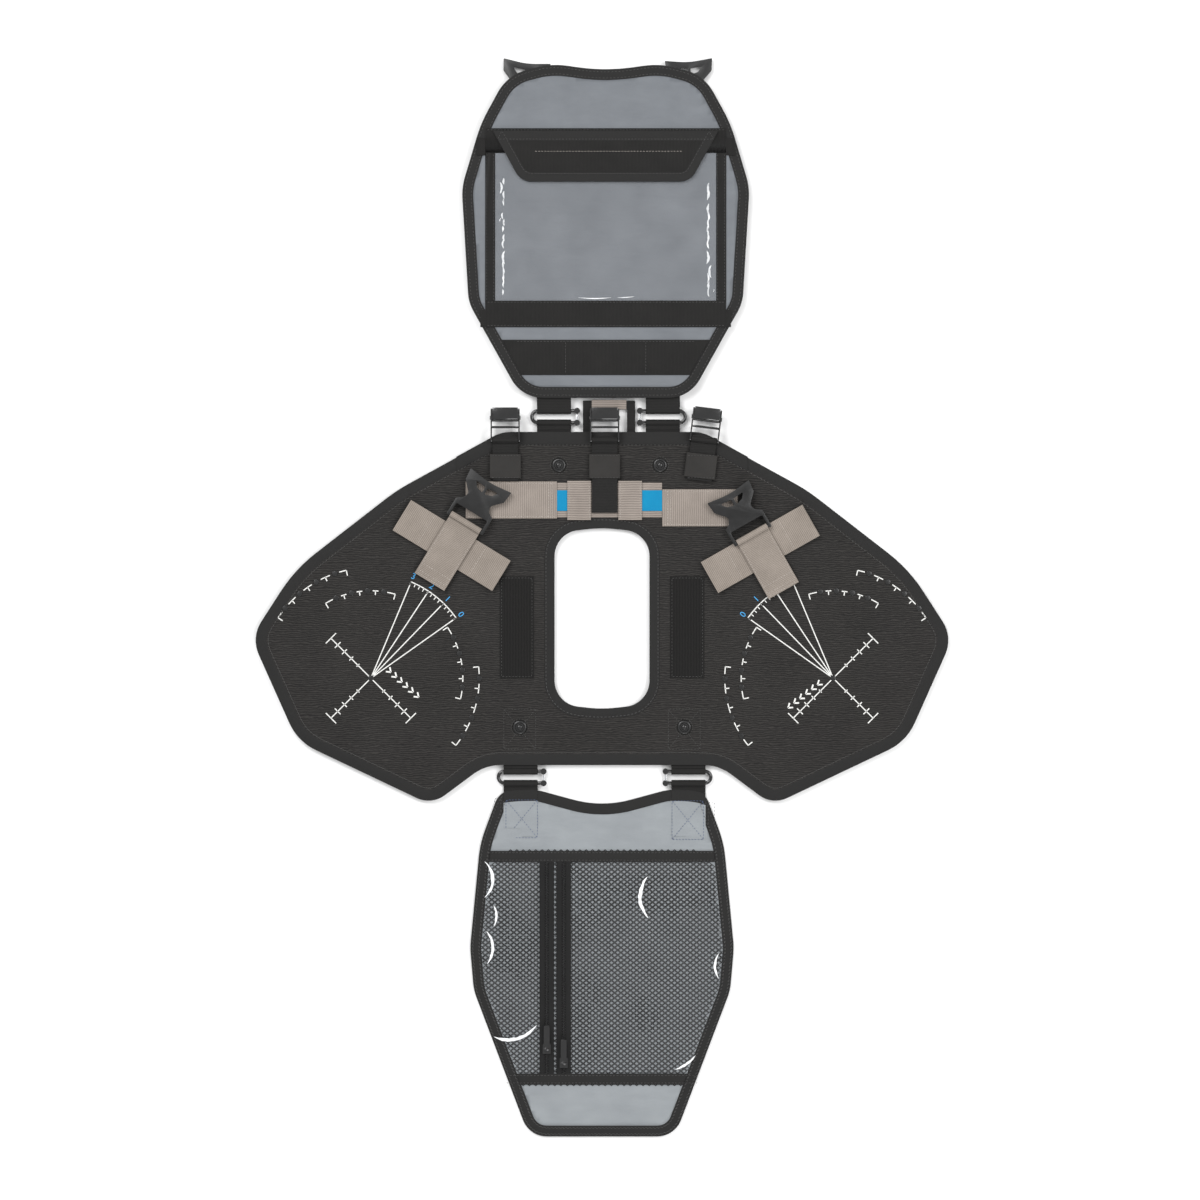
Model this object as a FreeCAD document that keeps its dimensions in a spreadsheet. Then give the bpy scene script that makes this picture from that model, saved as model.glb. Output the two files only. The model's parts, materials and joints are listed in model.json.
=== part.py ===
"""Pocket harness panel: a stiff butterfly base with two pocket panels hinged to it on webbing tabs and gated rings.

The object lies flat with its front up: +X runs to its right wing, +Y to the upper panel and +Z out of its front.
The origin is the middle of the whole footprint, on the surface that the object lies on. Millimetres throughout.
"""

import FreeCAD, Part
import math
import os
import re

Vector = FreeCAD.Vector
Rotation = FreeCAD.Rotation
Placement = FreeCAD.Placement
UP = Vector(0, 0, 1)

# Driving dimensions. Each name is the alias of a cell in the document's sheet.
SIZES = {
    # base panel: two fabrics on a stiffener, with a tape folded round its edges
    "base_half_width": 381.0, "base_height": 365.0, "fabric": 1.0, "stiffener": 5.0,
    "edge_lip": 0.8, "binding_width": 12.0, "wrap_half_width": 160.0, "wrap_depth": 13.0, "wrap": 0.8,
    "opening_half_width": 52.2, "opening_height": 200.0, "opening_drop": 104.0, "opening_bulge": 6.0,
    "opening_radius": 34.0, "opening_crown": 150.0, "opening_binding": 11.0,
    # webbing, rods and the play between them; a bar is buried in what holds it, and a cutting body overruns
    "webbing": 1.4, "rod_radius": 2.0, "loop_gap": 0.2, "floor_gap": 0.2, "bar_bury": 0.5, "overrun": 1.0,
    # rings that join the panels, each closed by a sprung gate
    "ring_half_pitch": 6.5, "ring_outer_run": 19.25, "ring_inner_run": 24.0, "lobe_radius": 3.25,
    "lobe_height": 6.0, "clevis_gap": 2.6, "clevis_depth": 2.1, "gate_pin_radius": 0.9, "gate_play": 0.05,
    "gate_eye_radius": 1.8, "gate_width": 1.8, "gate_thick": 2.0, "gate_nose_gap": 0.4,
    "tab_width": 37.5, "tab_shift": 1.25, "base_tab_depth": 40.0, "panel_tab_length": 50.0,
    "base_to_upper_ring": 17.6, "upper_ring_to_panel": 20.4, "upper_ring_spacing": 117.0, "upper_ring_shift": 7.1,
    "base_to_lower_ring": 13.5, "lower_ring_to_panel": 13.5, "lower_ring_spacing": 182.0, "lower_ring_shift": 2.8,
    # upper panel with its window, flap and loop band
    "upper_half_width": 157.0, "upper_height": 367.0, "upper_shift": 4.0, "panel_core": 1.2, "panel_skin": 0.8,
    "window_half_width": 132.0, "window_drop": 82.0, "window_height": 207.5, "vinyl": 0.4, "tape": 0.7,
    "side_tape_width": 10.7, "top_tape_height": 27.0, "bottom_tape_height": 29.0,
    "elastic_width": 10.0, "elastic_height": 19.0, "band_rise": 25.0, "band_height": 38.7, "band": 1.0,
    "flap_top_half": 123.0, "flap_bottom_half": 93.0, "flap_height": 54.8, "flap_drop": 75.2, "flap_gap": 0.5,
    "flap_board": 1.6, "flap_tape": 0.3, "flap_binding": 10.0, "flap_radius": 20.0,
    # lower panel with its mesh pockets and two zips
    "lower_half_width": 144.0, "lower_height": 381.5, "pocket_drop": 67.4, "pocket_height": 257.0,
    "pocket_tape": 12.2, "mesh": 0.4, "pocket_film": 0.4, "zip_tape_width": 16.0, "zip_tape": 0.6,
    "zip_centre": -51.4, "zip_spacing": 18.6, "coil_width": 4.2, "coil": 1.6,
    "slider_width": 9.0, "slider_length": 11.0, "slider_roof": 0.9, "slider_play": 0.3,
    "left_slider_rise": 39.8, "right_slider_rise": 24.4, "bridge_radius": 0.9, "bridge_half_span": 2.5,
    "bridge_post": 1.2, "bridge_height": 2.4, "pull_eye_radius": 2.0, "pull_play": 0.08,
    "pull_width": 6.6, "pull_length": 26.0, "pull_thick": 1.6, "pull_grip_start": 4.0,
    "pull_shoulder_radius": 1.5, "pull_end_radius": 2.5,
    # press studs and loop strips on the base
    "stud_flange_radius": 8.0, "stud_flange": 1.2, "stud_post_radius": 3.6, "stud_height": 4.0,
    "upper_stud_spacing": 111.1, "upper_stud_shift": 8.25, "upper_stud_drop": 35.8,
    "lower_stud_spacing": 180.6, "lower_stud_rise": 41.5,
    "strip_width": 37.4, "strip_height": 112.2, "strip": 0.8, "strip_spacing": 187.0, "strip_drop": 157.6,
    # cam buckles, their straps and the keepers on the straps
    "buckle_pitch": 109.0, "buckle_shift": 2.9, "buckle_drop": 8.0, "side_buckle_turn": -7.0,
    "strap_width": 28.0, "strap_length": 45.0, "centre_strap_length": 80.0, "strap_rise": 0.3, "foot_gap": 17.0,
    "strap_play": 0.5, "rail": 1.5, "rail_length": 34.0, "rail_radius": 3.2, "rail_top": 4.4,
    "middle_bar_at": 12.5, "middle_bar_width": 2.5, "middle_bar": 3.0, "floor_at": 20.0, "buckle_floor": 1.2,
    "cam_pin_at": 24.0, "cam_pin_rise": 2.2, "cam_pin_radius": 1.3, "cam_play": 0.05, "cam_side_play": 0.5,
    "pin_head_radius": 2.2, "pin_head": 0.8, "cam_radius": 2.8, "lever": 1.4, "lever_length": 10.0,
    "lever_lip": 1.2, "lever_lip_height": 2.6,
    "keeper_width": 34.0, "keeper_height": 27.0, "keeper_drop": 15.5, "keeper_wall": 1.8, "keeper_roof": 0.9,
    "keeper_play": 0.2,
    # waist belt: two grey ends, a backing strip, two sleeves and two stretch bands
    "belt": 1.6, "belt_width": 40.7, "left_belt_end": 149.6, "left_belt_start": 49.3, "left_belt_drop": 53.6,
    "right_belt_end": 149.0, "right_belt_start": 66.0, "right_belt_drop": 62.2, "belt_backing": 0.8,
    "backing_width": 38.0, "backing_drop": 55.0, "band_width": 22.7, "stretch": 0.8, "stretch_drop": 63.3,
    "sleeve_length": 26.0, "sleeve_height": 43.0, "sleeve_roof": 1.0, "sleeve_gap": 1.0, "sleeve_play": 0.2,
    "sleeve_drop": 53.0,
    # carrying handle behind the middle buckle
    "handle_span": 48.5, "handle_shift": 7.75, "handle_reach": 35.4, "handle_width": 9.0, "handle": 2.4,
    "handle_root": 20.0, "handle_sleeve_length": 38.0, "handle_sleeve_wall": 0.8,
    # leg adjusters: pivot, rivets on four arcs
    "pivot_spacing": 507.6, "pivot_drop": 269.6, "rivet_radius": 3.0, "rivet": 0.8, "rivet_step": 10.6,
    "outer_arc_radius": 121.5, "outer_arc_start": 109.0, "inner_arc_radius": 96.0, "inner_arc_start": 81.6,
    "side_arc_radius": 101.0, "side_arc_start": -5.6, "low_arc_radius": 119.0, "low_arc_start": -32.0,
    # leg straps, the cross straps under them and the end hooks
    "left_leg_angle": 58.6, "left_leg_start": 123.8, "left_leg_crest": 200.0, "left_cross_at": 170.6,
    "right_leg_angle": 60.5, "right_leg_start": 110.5, "right_leg_crest": 181.0, "right_cross_at": 163.0,
    "leg_width": 38.0, "cross_width": 39.0, "cross_length": 128.0, "grip_side": 34.0, "grip_gap": 0.05,
    "grip": 1.1,
    "hook_thick": 4.0, "hook_arm_at": 20.0, "hook_arm": 3.0, "hook_back": 2.5, "hook_length": 54.0,
    "arm_shoulder_rise": 5.0, "arm_shoulder_radius": 3.0, "arm_outer_radius": 1.4, "arm_inner_radius": 0.5,
    "arm_root_radius": 2.0,
    "hook_half_width": 26.0, "hook_plate_at": 13.5, "left_hook_at": -92.8, "right_hook_at": 94.2,
    "left_hook_turn": -7.0, "right_hook_turn": 3.4, "hook_overhang": 6.5, "hook_tab_length": 40.0,
}

# Outlines: right half, from the top middle to the bottom middle, as share of the half width, share of the height
# down from the top edge, and corner radius.
BASE_OUTLINE = [
    (0.289, 0.0, 40), (0.591, 0.173, 190), (0.885, 0.411, 170), (1.0115, 0.616, 38), (0.8776, 0.929, 60),
    (0.491, 1.1205, 30), (0.336, 1.0, 50),
]
UPPER_OUTLINE = [
    (0.0, 0.023, 250), (0.382, 0.0, 90), (0.688, 0.035, 50), (0.873, 0.180, 150), (1.006, 0.371, 70),
    (0.958, 0.715, 45), (0.586, 1.0, 40),
]
LOWER_OUTLINE = [
    (0.0, 0.052, 120), (0.5, 0.001, 70), (0.778, 0.0, 22), (0.931, 0.155, 120), (1.007, 0.456, 80),
    (0.979, 0.579, 60), (0.556, 1.0, 28),
]
# Right half of an end hook's head and its right window: share of the half width, distance back from the tips,
# and corner radius.
HOOK_HEAD = [(0.0, 3.4, 90), (1.0, 0.0, 0.6), (0.946, 13.4, 2.5), (0.519, 25.0, 10), (0.635, 31.5, 5)]
HOOK_WINDOW = [(0.0615, 16.7, 1), (0.365, 14.3, 1), (0.558, 8.1, 1), (0.0615, 9.5, 1)]
RIVETS_PER_ARC = 4
SIDES = {"left": -1, "right": 1}

doc = FreeCAD.newDocument("PocketHarness")
sheet = doc.addObject("Spreadsheet::Sheet", "Sizes")
for row, (alias, number) in enumerate(SIZES.items(), start=1):
    sheet.set(f"A{row}", alias)
    sheet.set(f"B{row}", str(number))
    sheet.setAlias(f"B{row}", alias)
doc.recompute()

NODES = []


def size(alias):
    """The number in one cell of the sheet."""
    return float(sheet.get(alias))


def bind(thing, **formulas):
    """Binds properties of an object to formulas on the sheet's aliases."""
    for name, formula in formulas.items():
        linked = re.sub(r"[a-z][a-z_]+", lambda word: f"Sizes.{word.group()}", formula)
        thing.setExpression(name, linked)
    return thing


def node(label, thing):
    """Names an object and lists it as a sub-part to write."""
    thing.Label = label
    NODES.append(thing)
    return thing


def box(name, corner, length, width, height):
    """A box from its lowest corner, with its sizes as formulas."""
    made = doc.addObject("Part::Box", name)
    made.Placement = Placement(Vector(*corner), Rotation())
    return bind(made, Length=length, Width=width, Height=height)


def rod(name, start, radius, length, along_x=False):
    """A cylinder from the middle of its first end, along +Z or +X, with its sizes as formulas."""
    made = doc.addObject("Part::Cylinder", name)
    turn = Rotation(Vector(0, 1, 0), 90) if along_x else Rotation()
    made.Placement = Placement(Vector(*start), turn)
    return bind(made, Radius=radius, Height=length)


def plate(name, wire, z, height):
    """A flat plate inside a wire, from height z, with its thickness as a formula."""
    face = doc.addObject("Part::Feature", name + "_face")
    face.Shape = Part.Face(wire)
    made = doc.addObject("Part::Extrusion", name)
    made.Base = face
    made.DirMode = "Custom"
    made.Dir = UP
    made.Solid = True
    made.Placement = Placement(Vector(0, 0, z), Rotation())
    return bind(made, LengthFwd=height)


def cut(name, base, tool):
    """An object less another."""
    made = doc.addObject("Part::Cut", name)
    made.Base = base
    made.Tool = tool
    return made


def common(name, base, tool):
    """What two objects share."""
    made = doc.addObject("Part::Common", name)
    made.Base = base
    made.Tool = tool
    return made


def fuse(name, *parts):
    """Objects joined into one solid."""
    made = doc.addObject("Part::MultiFuse", name)
    made.Shapes = list(parts)
    return made


def group(name, *parts):
    """Separate solids kept together."""
    made = doc.addObject("Part::Compound", name)
    made.Links = list(parts)
    return made


def placed(thing, x, y, z=0.0, turn=0.0):
    """Puts an object that was built about the origin in its place, turned about +Z by degrees."""
    thing.Placement = Placement(Vector(x, y, z), Rotation(UP, turn))
    return thing


def corner(before, here, after, radius):
    """The points of the arc that rounds a corner, or the corner itself where there is no room or radius."""
    back = before - here
    ahead = after - here
    room = 0.49 * min(back.Length, ahead.Length)
    half = back.getAngle(ahead) / 2
    reach = min(radius / math.tan(half), room) if radius else 0.0
    if reach < 0.01:
        return [here]
    back.normalize()
    ahead.normalize()
    true_radius = reach * math.tan(half)
    inward = (back + ahead).normalize()
    middle = here + inward * (true_radius / math.sin(half) - true_radius)
    return [here + back * reach, middle, here + ahead * reach]


def rounded(points):
    """A closed wire of straight runs and tangent arcs through corners (x, y, radius)."""
    places = [Vector(x, y, 0) for x, y, _ in points]
    count = len(points)
    turns = [corner(places[i - 1], places[i], places[(i + 1) % count], points[i][2]) for i in range(count)]
    edges = []
    for i, turn in enumerate(turns):
        if len(turn) == 3:
            edges.append(Part.Arc(*turn).toShape())
        edges.append(Part.LineSegment(turn[-1], turns[(i + 1) % count][0]).toShape())
    return Part.Wire(edges)


def both_halves(right):
    """A whole outline from its right half."""
    left = [(-x, y, radius) for x, y, radius in reversed(right) if x > 0]
    return right + left


def outline(shares, half_width, top, height, shift=0.0):
    """A panel's outline from its shares."""
    right = [(x * half_width, top - y * height, radius) for x, y, radius in shares]
    return rounded([(x + shift, y, radius) for x, y, radius in both_halves(right)])


def grown(wire, distance):
    """A wire moved outwards by a distance, or inwards where that is negative."""
    wider = wire.makeOffset2D(distance)
    grew = wider.BoundBox.XLength > wire.BoundBox.XLength
    return wider if grew == (distance > 0) else wire.makeOffset2D(-distance)


# Levels along the page, from the hook tips at one end to the lower panel's edge at the other.
whole_length = sum(size(alias) for alias in (
    "hook_overhang", "upper_height", "upper_ring_to_panel", "base_to_upper_ring", "base_height",
    "base_to_lower_ring", "lower_ring_to_panel", "lower_height"))
tips_y = whole_length / 2
upper_top = tips_y - size("hook_overhang")
upper_bottom = upper_top - size("upper_height")
upper_ring_y = upper_bottom - size("upper_ring_to_panel")
base_top = upper_ring_y - size("base_to_upper_ring")
base_bottom = base_top - size("base_height")
lower_ring_y = base_bottom - size("base_to_lower_ring")
lower_top = lower_ring_y - size("lower_ring_to_panel")

# Levels above the surface that the object lies on.
base_face = 2 * size("fabric") + size("stiffener")
loop_radius = size("rod_radius") + size("loop_gap") + size("webbing")
ring_z = size("floor_gap") + loop_radius
doubled = 2 * size("webbing")
panel_thick = size("panel_core") + 2 * size("panel_skin")
upper_back = ring_z + loop_radius
upper_face = upper_back + panel_thick
lower_back = size("floor_gap")
lower_face = lower_back + panel_thick
LOOP = "rod_radius + loop_gap + webbing"
BORE = "rod_radius + loop_gap"
DOUBLED = "2 * webbing"
RAIL_GAP = "strap_width + 2 * strap_play"
BASE_THICK = "2 * fabric + stiffener"
PANEL_THICK = "panel_core + 2 * panel_skin"


def webbing_loop(name, width, length, reach, axis_z, tail_z, way):
    """Webbing rolled round a bar along X at the origin; its doubled tail runs way along Y, as far as reach."""
    half = size(width) / 2
    roll = rod(name + "_roll", (-half, 0, axis_z), LOOP, width, along_x=True)
    start = 0 if way > 0 else -reach
    tail = box(name + "_tail", (-half, start, tail_z), width, length, DOUBLED)
    bore = rod(name + "_bore", (-half - size("overrun"), 0, axis_z), BORE, f"{width} + 2 * overrun", along_x=True)
    return cut(name, fuse(name + "_whole", roll, tail), bore)


def ring_places(level):
    """The middle of each ring of one level, by side."""
    shift = size(level + "_ring_shift")
    spacing = size(level + "_ring_spacing")
    return {name: shift + side * spacing / 2 for name, side in SIDES.items()}


def tab_slots():
    """What the tabs and the handle's legs take out of the base's edge, as one group of boxes."""
    slots = []
    depth = size("base_tab_depth")
    half = size("tab_width") / 2
    low = ring_z - size("webbing")
    for name, x in ring_places("upper").items():
        middle = x + SIDES[name] * size("tab_shift")
        slots.append(box("slot", (middle - half, base_top - depth, low), "tab_width", "2 * base_tab_depth",
                         DOUBLED))
    for name, x in ring_places("lower").items():
        middle = x + SIDES[name] * size("tab_shift")
        slots.append(box("slot", (middle - half, base_bottom - depth, low), "tab_width", "2 * base_tab_depth",
                         DOUBLED))
    for side in SIDES.values():
        x = size("handle_shift") + side * size("handle_span") / 2 - size("handle_width") / 2
        slots.append(box("slot", (x, base_top - size("handle_root"), ring_z - size("handle") / 2), "handle_width",
                         "2 * handle_root", "handle"))
    return group("edge_slots", *slots)


def build_base():
    """Fabrics, stiffener, bindings and the wrap along the upper edge."""
    edge = outline(BASE_OUTLINE, size("base_half_width"), base_top, size("base_height"))
    half = size("opening_half_width")
    top = base_top - size("opening_drop") - size("opening_bulge")
    bottom = base_top - size("opening_drop") - size("opening_height") + size("opening_bulge")
    opening = rounded(both_halves([
        (0, top + size("opening_bulge"), size("opening_crown")), (half, top, size("opening_radius")),
        (half, bottom, size("opening_radius")), (0, bottom - size("opening_bulge"), size("opening_crown")),
    ]))
    inner_edge = grown(edge, -size("binding_width"))
    outer_ring = grown(opening, size("opening_binding"))
    slots = tab_slots()

    for label, z in (("base_back_fabric", 0.0), ("base_front_fabric", base_face - size("fabric"))):
        sheet_plate = plate(label + "_plate", inner_edge, z, "fabric")
        node(label, cut(label, sheet_plate, plate(label + "_hole", outer_ring, z, "fabric")))
    board = plate("board_plate", grown(edge, -size("edge_lip")), size("fabric"), "stiffener")
    hole = plate("board_hole", grown(opening, size("edge_lip")), size("fabric"), "stiffener")
    node("base_stiffener", cut("base_stiffener", cut("board_open", board, hole), slots))

    def folded(name, outer, inner, near, far):
        """A tape folded over an edge: the ring between two wires less the board between two others."""
        band = cut(name + "_band", plate(name + "_outer", outer, 0, BASE_THICK),
                   plate(name + "_inner", inner, 0, BASE_THICK))
        core = cut(name + "_core", plate(name + "_near", near, size("fabric"), "stiffener"),
                   plate(name + "_far", far, size("fabric"), "stiffener"))
        return cut(name, band, core)

    binding = folded("edge_tape", edge, inner_edge, grown(edge, -size("edge_lip")),
                     grown(inner_edge, -size("overrun")))
    node("base_edge_binding", cut("base_edge_binding", binding, slots))
    node("opening_binding", folded("opening_tape", outer_ring, opening, grown(outer_ring, size("overrun")),
                                   grown(opening, size("edge_lip"))))

    reach = size("wrap_half_width")
    zone = box("wrap_zone", (-reach, base_top - reach / 2, 0), "2 * wrap_half_width", "wrap_half_width",
               f"{BASE_THICK} + wrap")
    wrap = cut("wrap_band", plate("wrap_outer", grown(edge, size("wrap")), 0, f"{BASE_THICK} + wrap"),
               plate("wrap_inner", grown(edge, -size("wrap_depth")), 0, f"{BASE_THICK} + wrap"))
    shell = cut("wrap_shell", common("wrap_near", wrap, zone), plate("wrap_core", edge, 0, BASE_THICK))
    node("top_edge_wrap", cut("top_edge_wrap", shell, slots))


def stud(name, x, y):
    """A press stud: a flange with a post."""
    flange = rod(name + "_flange", (x, y, base_face), "stud_flange_radius", "stud_flange")
    post = rod(name + "_post", (x, y, base_face), "stud_post_radius", "stud_height")
    return fuse(name, flange, post)


def build_base_fittings():
    """Studs, loop strips and rivets on the base's front."""
    studs = []
    strips = []
    rivets = []
    for side in SIDES.values():
        upper_x = size("upper_stud_shift") + side * size("upper_stud_spacing") / 2
        studs.append(stud("stud", upper_x, base_top - size("upper_stud_drop")))
        studs.append(stud("stud", side * size("lower_stud_spacing") / 2, base_bottom + size("lower_stud_rise")))
        x = side * size("strip_spacing") / 2 - size("strip_width") / 2
        y = base_top - size("strip_drop") - size("strip_height")
        strips.append(box("strip", (x, y, base_face), "strip_width", "strip_height", "strip"))
        pivot = Vector(side * size("pivot_spacing") / 2, base_top - size("pivot_drop"), base_face)
        places = [pivot]
        for arc in ("outer_arc", "inner_arc", "side_arc", "low_arc"):
            for step in range(RIVETS_PER_ARC):
                angle = math.radians(size(arc + "_start") + step * size("rivet_step"))
                places.append(pivot + Vector(-side * math.cos(angle), math.sin(angle), 0) * size(arc + "_radius"))
        rivets += [rod("rivet", place, "rivet_radius", "rivet") for place in places]
    node("press_studs", group("press_studs", *studs))
    node("loop_strips", group("loop_strips", *strips))
    node("adjuster_rivets", group("adjuster_rivets", *rivets))


def build_belt():
    """The waist belt across the upper middle of the base."""
    width = size("belt_width")
    left = box("left_end", (-size("left_belt_end"), base_top - size("left_belt_drop") - width, base_face),
               "left_belt_end - left_belt_start", "belt_width", "belt")
    right = box("right_end", (size("right_belt_start"), base_top - size("right_belt_drop") - width, base_face),
                "right_belt_end - right_belt_start", "belt_width", "belt")
    node("belt_ends", group("belt_ends", left, right))

    backing = box("backing", (-size("left_belt_start"), base_top - size("backing_drop") - size("backing_width"),
                              base_face), "left_belt_start + right_belt_start", "backing_width", "belt_backing")
    band_z = base_face + size("belt_backing")
    strap_half = size("strap_width") / 2 + size("sleeve_gap")
    inner = {"left": size("buckle_shift") - strap_half, "right": size("buckle_shift") + strap_half}
    sleeves = []
    bands = []
    band_y = base_top - size("stretch_drop") - size("band_width")
    for name, side in SIDES.items():
        x = inner[name] if side > 0 else inner[name] - size("sleeve_length")
        y = base_top - size("sleeve_drop") - size("sleeve_height")
        cover = box("sleeve", (x, y, band_z), "sleeve_length", "sleeve_height",
                    "stretch + sleeve_play + sleeve_roof")
        tunnel = box("tunnel", (x - size("overrun"), band_y - size("sleeve_play"), band_z),
                     "sleeve_length + 2 * overrun", "band_width + 2 * sleeve_play", "stretch + sleeve_play")
        sleeves.append(cut("belt_sleeve", cover, tunnel))
        end = f"{'right' if side > 0 else 'left'}_belt_start"
        start = inner[name] if side > 0 else -size(end)
        run = f"{end} - {inner[name]}" if side > 0 else f"{end} + {inner[name]}"
        bands.append(box("blue_band", (start, band_y, band_z), run, "band_width", "stretch"))
    node("belt_sleeves", group("belt_sleeves", backing, *sleeves))
    node("belt_blue_bands", group("belt_blue_bands", *bands))


def build_handle():
    """The carrying handle behind the middle buckle: a webbing bow with a sleeve."""
    low = ring_z - size("handle") / 2
    left = size("handle_shift") - size("handle_span") / 2 - size("handle_width") / 2
    top = base_top + size("handle_reach")
    whole = box("bow", (left, base_top - size("handle_root"), low), "handle_span + handle_width",
                "handle_root + handle_reach", "handle")
    inside = box("bow_gap", (left + size("handle_width"), base_top - 2 * size("handle_root"), low),
                 "handle_span - handle_width", "2 * handle_root + handle_reach - handle_width", "handle")
    node("grab_handle", cut("grab_handle", whole, inside))
    wall = size("handle_sleeve_wall")
    x = size("handle_shift") - size("handle_sleeve_length") / 2
    y = top - size("handle_width")
    cover = box("grip", (x, y - wall, low - wall), "handle_sleeve_length", "handle_width + 2 * handle_sleeve_wall",
                "handle + 2 * handle_sleeve_wall")
    core = box("grip_core", (x - size("overrun"), y, low), "handle_sleeve_length + 2 * overrun", "handle_width",
               "handle")
    node("handle_sleeve", cut("handle_sleeve", cover, core))


def ring(name, x, y, side):
    """A ring round two bars along X: a closed outer end, and lobes at the inner end for the gate and its pin."""
    pitch = size("ring_half_pitch")
    run_out = size("ring_outer_run")
    run_in = size("ring_inner_run")
    inward = -side
    start = x - run_out if inward > 0 else x - run_in
    bars = [rod(name + "_bar", (start, y + way * pitch, ring_z), "rod_radius", "ring_outer_run + ring_inner_run",
                along_x=True) for way in (-1, 1)]
    bend = doc.addObject("Part::Torus", name + "_bend")
    bend.Angle3 = 180
    bend.Placement = Placement(Vector(x - inward * run_out, y, ring_z), Rotation(UP, 90 * inward))
    bind(bend, Radius1="ring_half_pitch", Radius2="rod_radius")
    lobe_x = x + inward * run_in
    low = ring_z - size("lobe_height") / 2
    lobes = [rod(name + "_lobe", (lobe_x, y + way * pitch, low), "lobe_radius", "lobe_height") for way in (-1, 1)]
    depth = size("clevis_depth")
    reach = 2 * size("lobe_radius") + size("overrun")
    slot_x = lobe_x - depth if inward > 0 else lobe_x + depth - reach
    slot = box(name + "_clevis", (slot_x, y - pitch - reach / 2, ring_z - size("clevis_gap") / 2),
               "2 * lobe_radius + overrun", "2 * lobe_radius + overrun", "clevis_gap")
    pin = rod(name + "_pin", (lobe_x, y - pitch, low), "gate_pin_radius", "lobe_height")
    frame = cut(name + "_frame", fuse(name + "_loop", *bars, bend, *lobes), slot)
    return fuse(name, frame, pin)


def gate(name, x, y, side):
    """The sprung gate of a ring, on the pin of one lobe, with its nose short of the other lobe."""
    pitch = size("ring_half_pitch")
    lobe_x = x - side * size("ring_inner_run")
    low = ring_z - size("gate_thick") / 2
    eye = rod(name + "_eye", (lobe_x, y - pitch, low), "gate_eye_radius", "gate_thick")
    arm = box(name + "_arm", (lobe_x - size("gate_width") / 2, y - pitch, low), "gate_width",
              "2 * ring_half_pitch - lobe_radius - gate_nose_gap", "gate_thick")
    hole = rod(name + "_hole", (lobe_x, y - pitch, low - size("overrun")), "gate_pin_radius + gate_play",
               "gate_thick + 2 * overrun")
    return cut(name, fuse(name + "_whole", eye, arm), hole)


def build_hinges():
    """Rings, gates and the webbing tabs that join the two panels to the base."""
    pitch = size("ring_half_pitch")
    base_tabs = []
    for level, ring_y, way, tail_z in (("upper", upper_ring_y, 1, upper_back - doubled),
                                       ("lower", lower_ring_y, -1, lower_back)):
        rings = []
        panel_tabs = []
        for name, x in ring_places(level).items():
            side = SIDES[name]
            middle = x + side * size("tab_shift")
            rings.append(ring(f"{level}_ring_{name}", x, ring_y, side))
            node(f"{level}_gate_{name}", gate(f"{level}_gate_{name}", x, ring_y, side))
            tab = webbing_loop("panel_tab", "tab_width", "panel_tab_length", size("panel_tab_length"), ring_z,
                               tail_z, way)
            panel_tabs.append(placed(tab, middle, ring_y + way * pitch))
            reach = size(f"base_to_{level}_ring") - pitch + size("base_tab_depth")
            root = webbing_loop("base_tab", "tab_width",
                                f"base_to_{level}_ring - ring_half_pitch + base_tab_depth", reach, ring_z,
                                ring_z - size("webbing"), -way)
            base_tabs.append(placed(root, middle, ring_y - way * pitch))
        node(f"{level}_rings", group(f"{level}_rings", *rings))
        node(f"{level}_hinge_tabs", group(f"{level}_hinge_tabs", *panel_tabs))
    node("base_hinge_tabs", group("base_hinge_tabs", *base_tabs))


def hook(name):
    """An end hook about its bar: the bar lies along X at the origin and the head points along +Y."""
    length = size("hook_length")
    half = size("hook_half_width")
    inside = size("hook_arm_at")
    outside = inside + size("hook_arm")
    back = -size("hook_back")
    shoulder = size("hook_plate_at")
    head = [(share * half, length - down, radius) for share, down, radius in HOOK_HEAD]
    arm = [(outside, shoulder + size("arm_shoulder_rise"), size("arm_shoulder_radius")),
           (outside, back, size("arm_outer_radius")), (inside, back, size("arm_inner_radius")),
           (inside, shoulder, size("arm_root_radius"))]
    body = plate(name + "_body", rounded(both_halves(head + arm)), -size("hook_thick") / 2, "hook_thick")
    windows = []
    for side in SIDES.values():
        points = [(side * share * half, length - down, radius) for share, down, radius in HOOK_WINDOW]
        windows.append(plate(name + "_window", rounded(points), -size("hook_thick"), "2 * hook_thick"))
    bar = rod(name + "_bar", (-inside - size("bar_bury"), 0, 0), "rod_radius", "2 * hook_arm_at + 2 * bar_bury",
              along_x=True)
    return fuse(name, cut(name + "_open", body, group(name + "_windows", *windows)), bar)


def leg_places():
    """Where each leg arm turns, by side: the pivot and the turn of the arm's own +Y from the object's."""
    places = {}
    for name, side in SIDES.items():
        turn = side * (90 - size(f"{name}_leg_angle"))
        places[name] = (side * size("pivot_spacing") / 2, base_top - size("pivot_drop"), turn)
    return places


cross_z = base_face + size("grip_gap") + size("grip")
leg_z = cross_z + size("webbing")
leg_bar_z = leg_z + loop_radius


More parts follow.
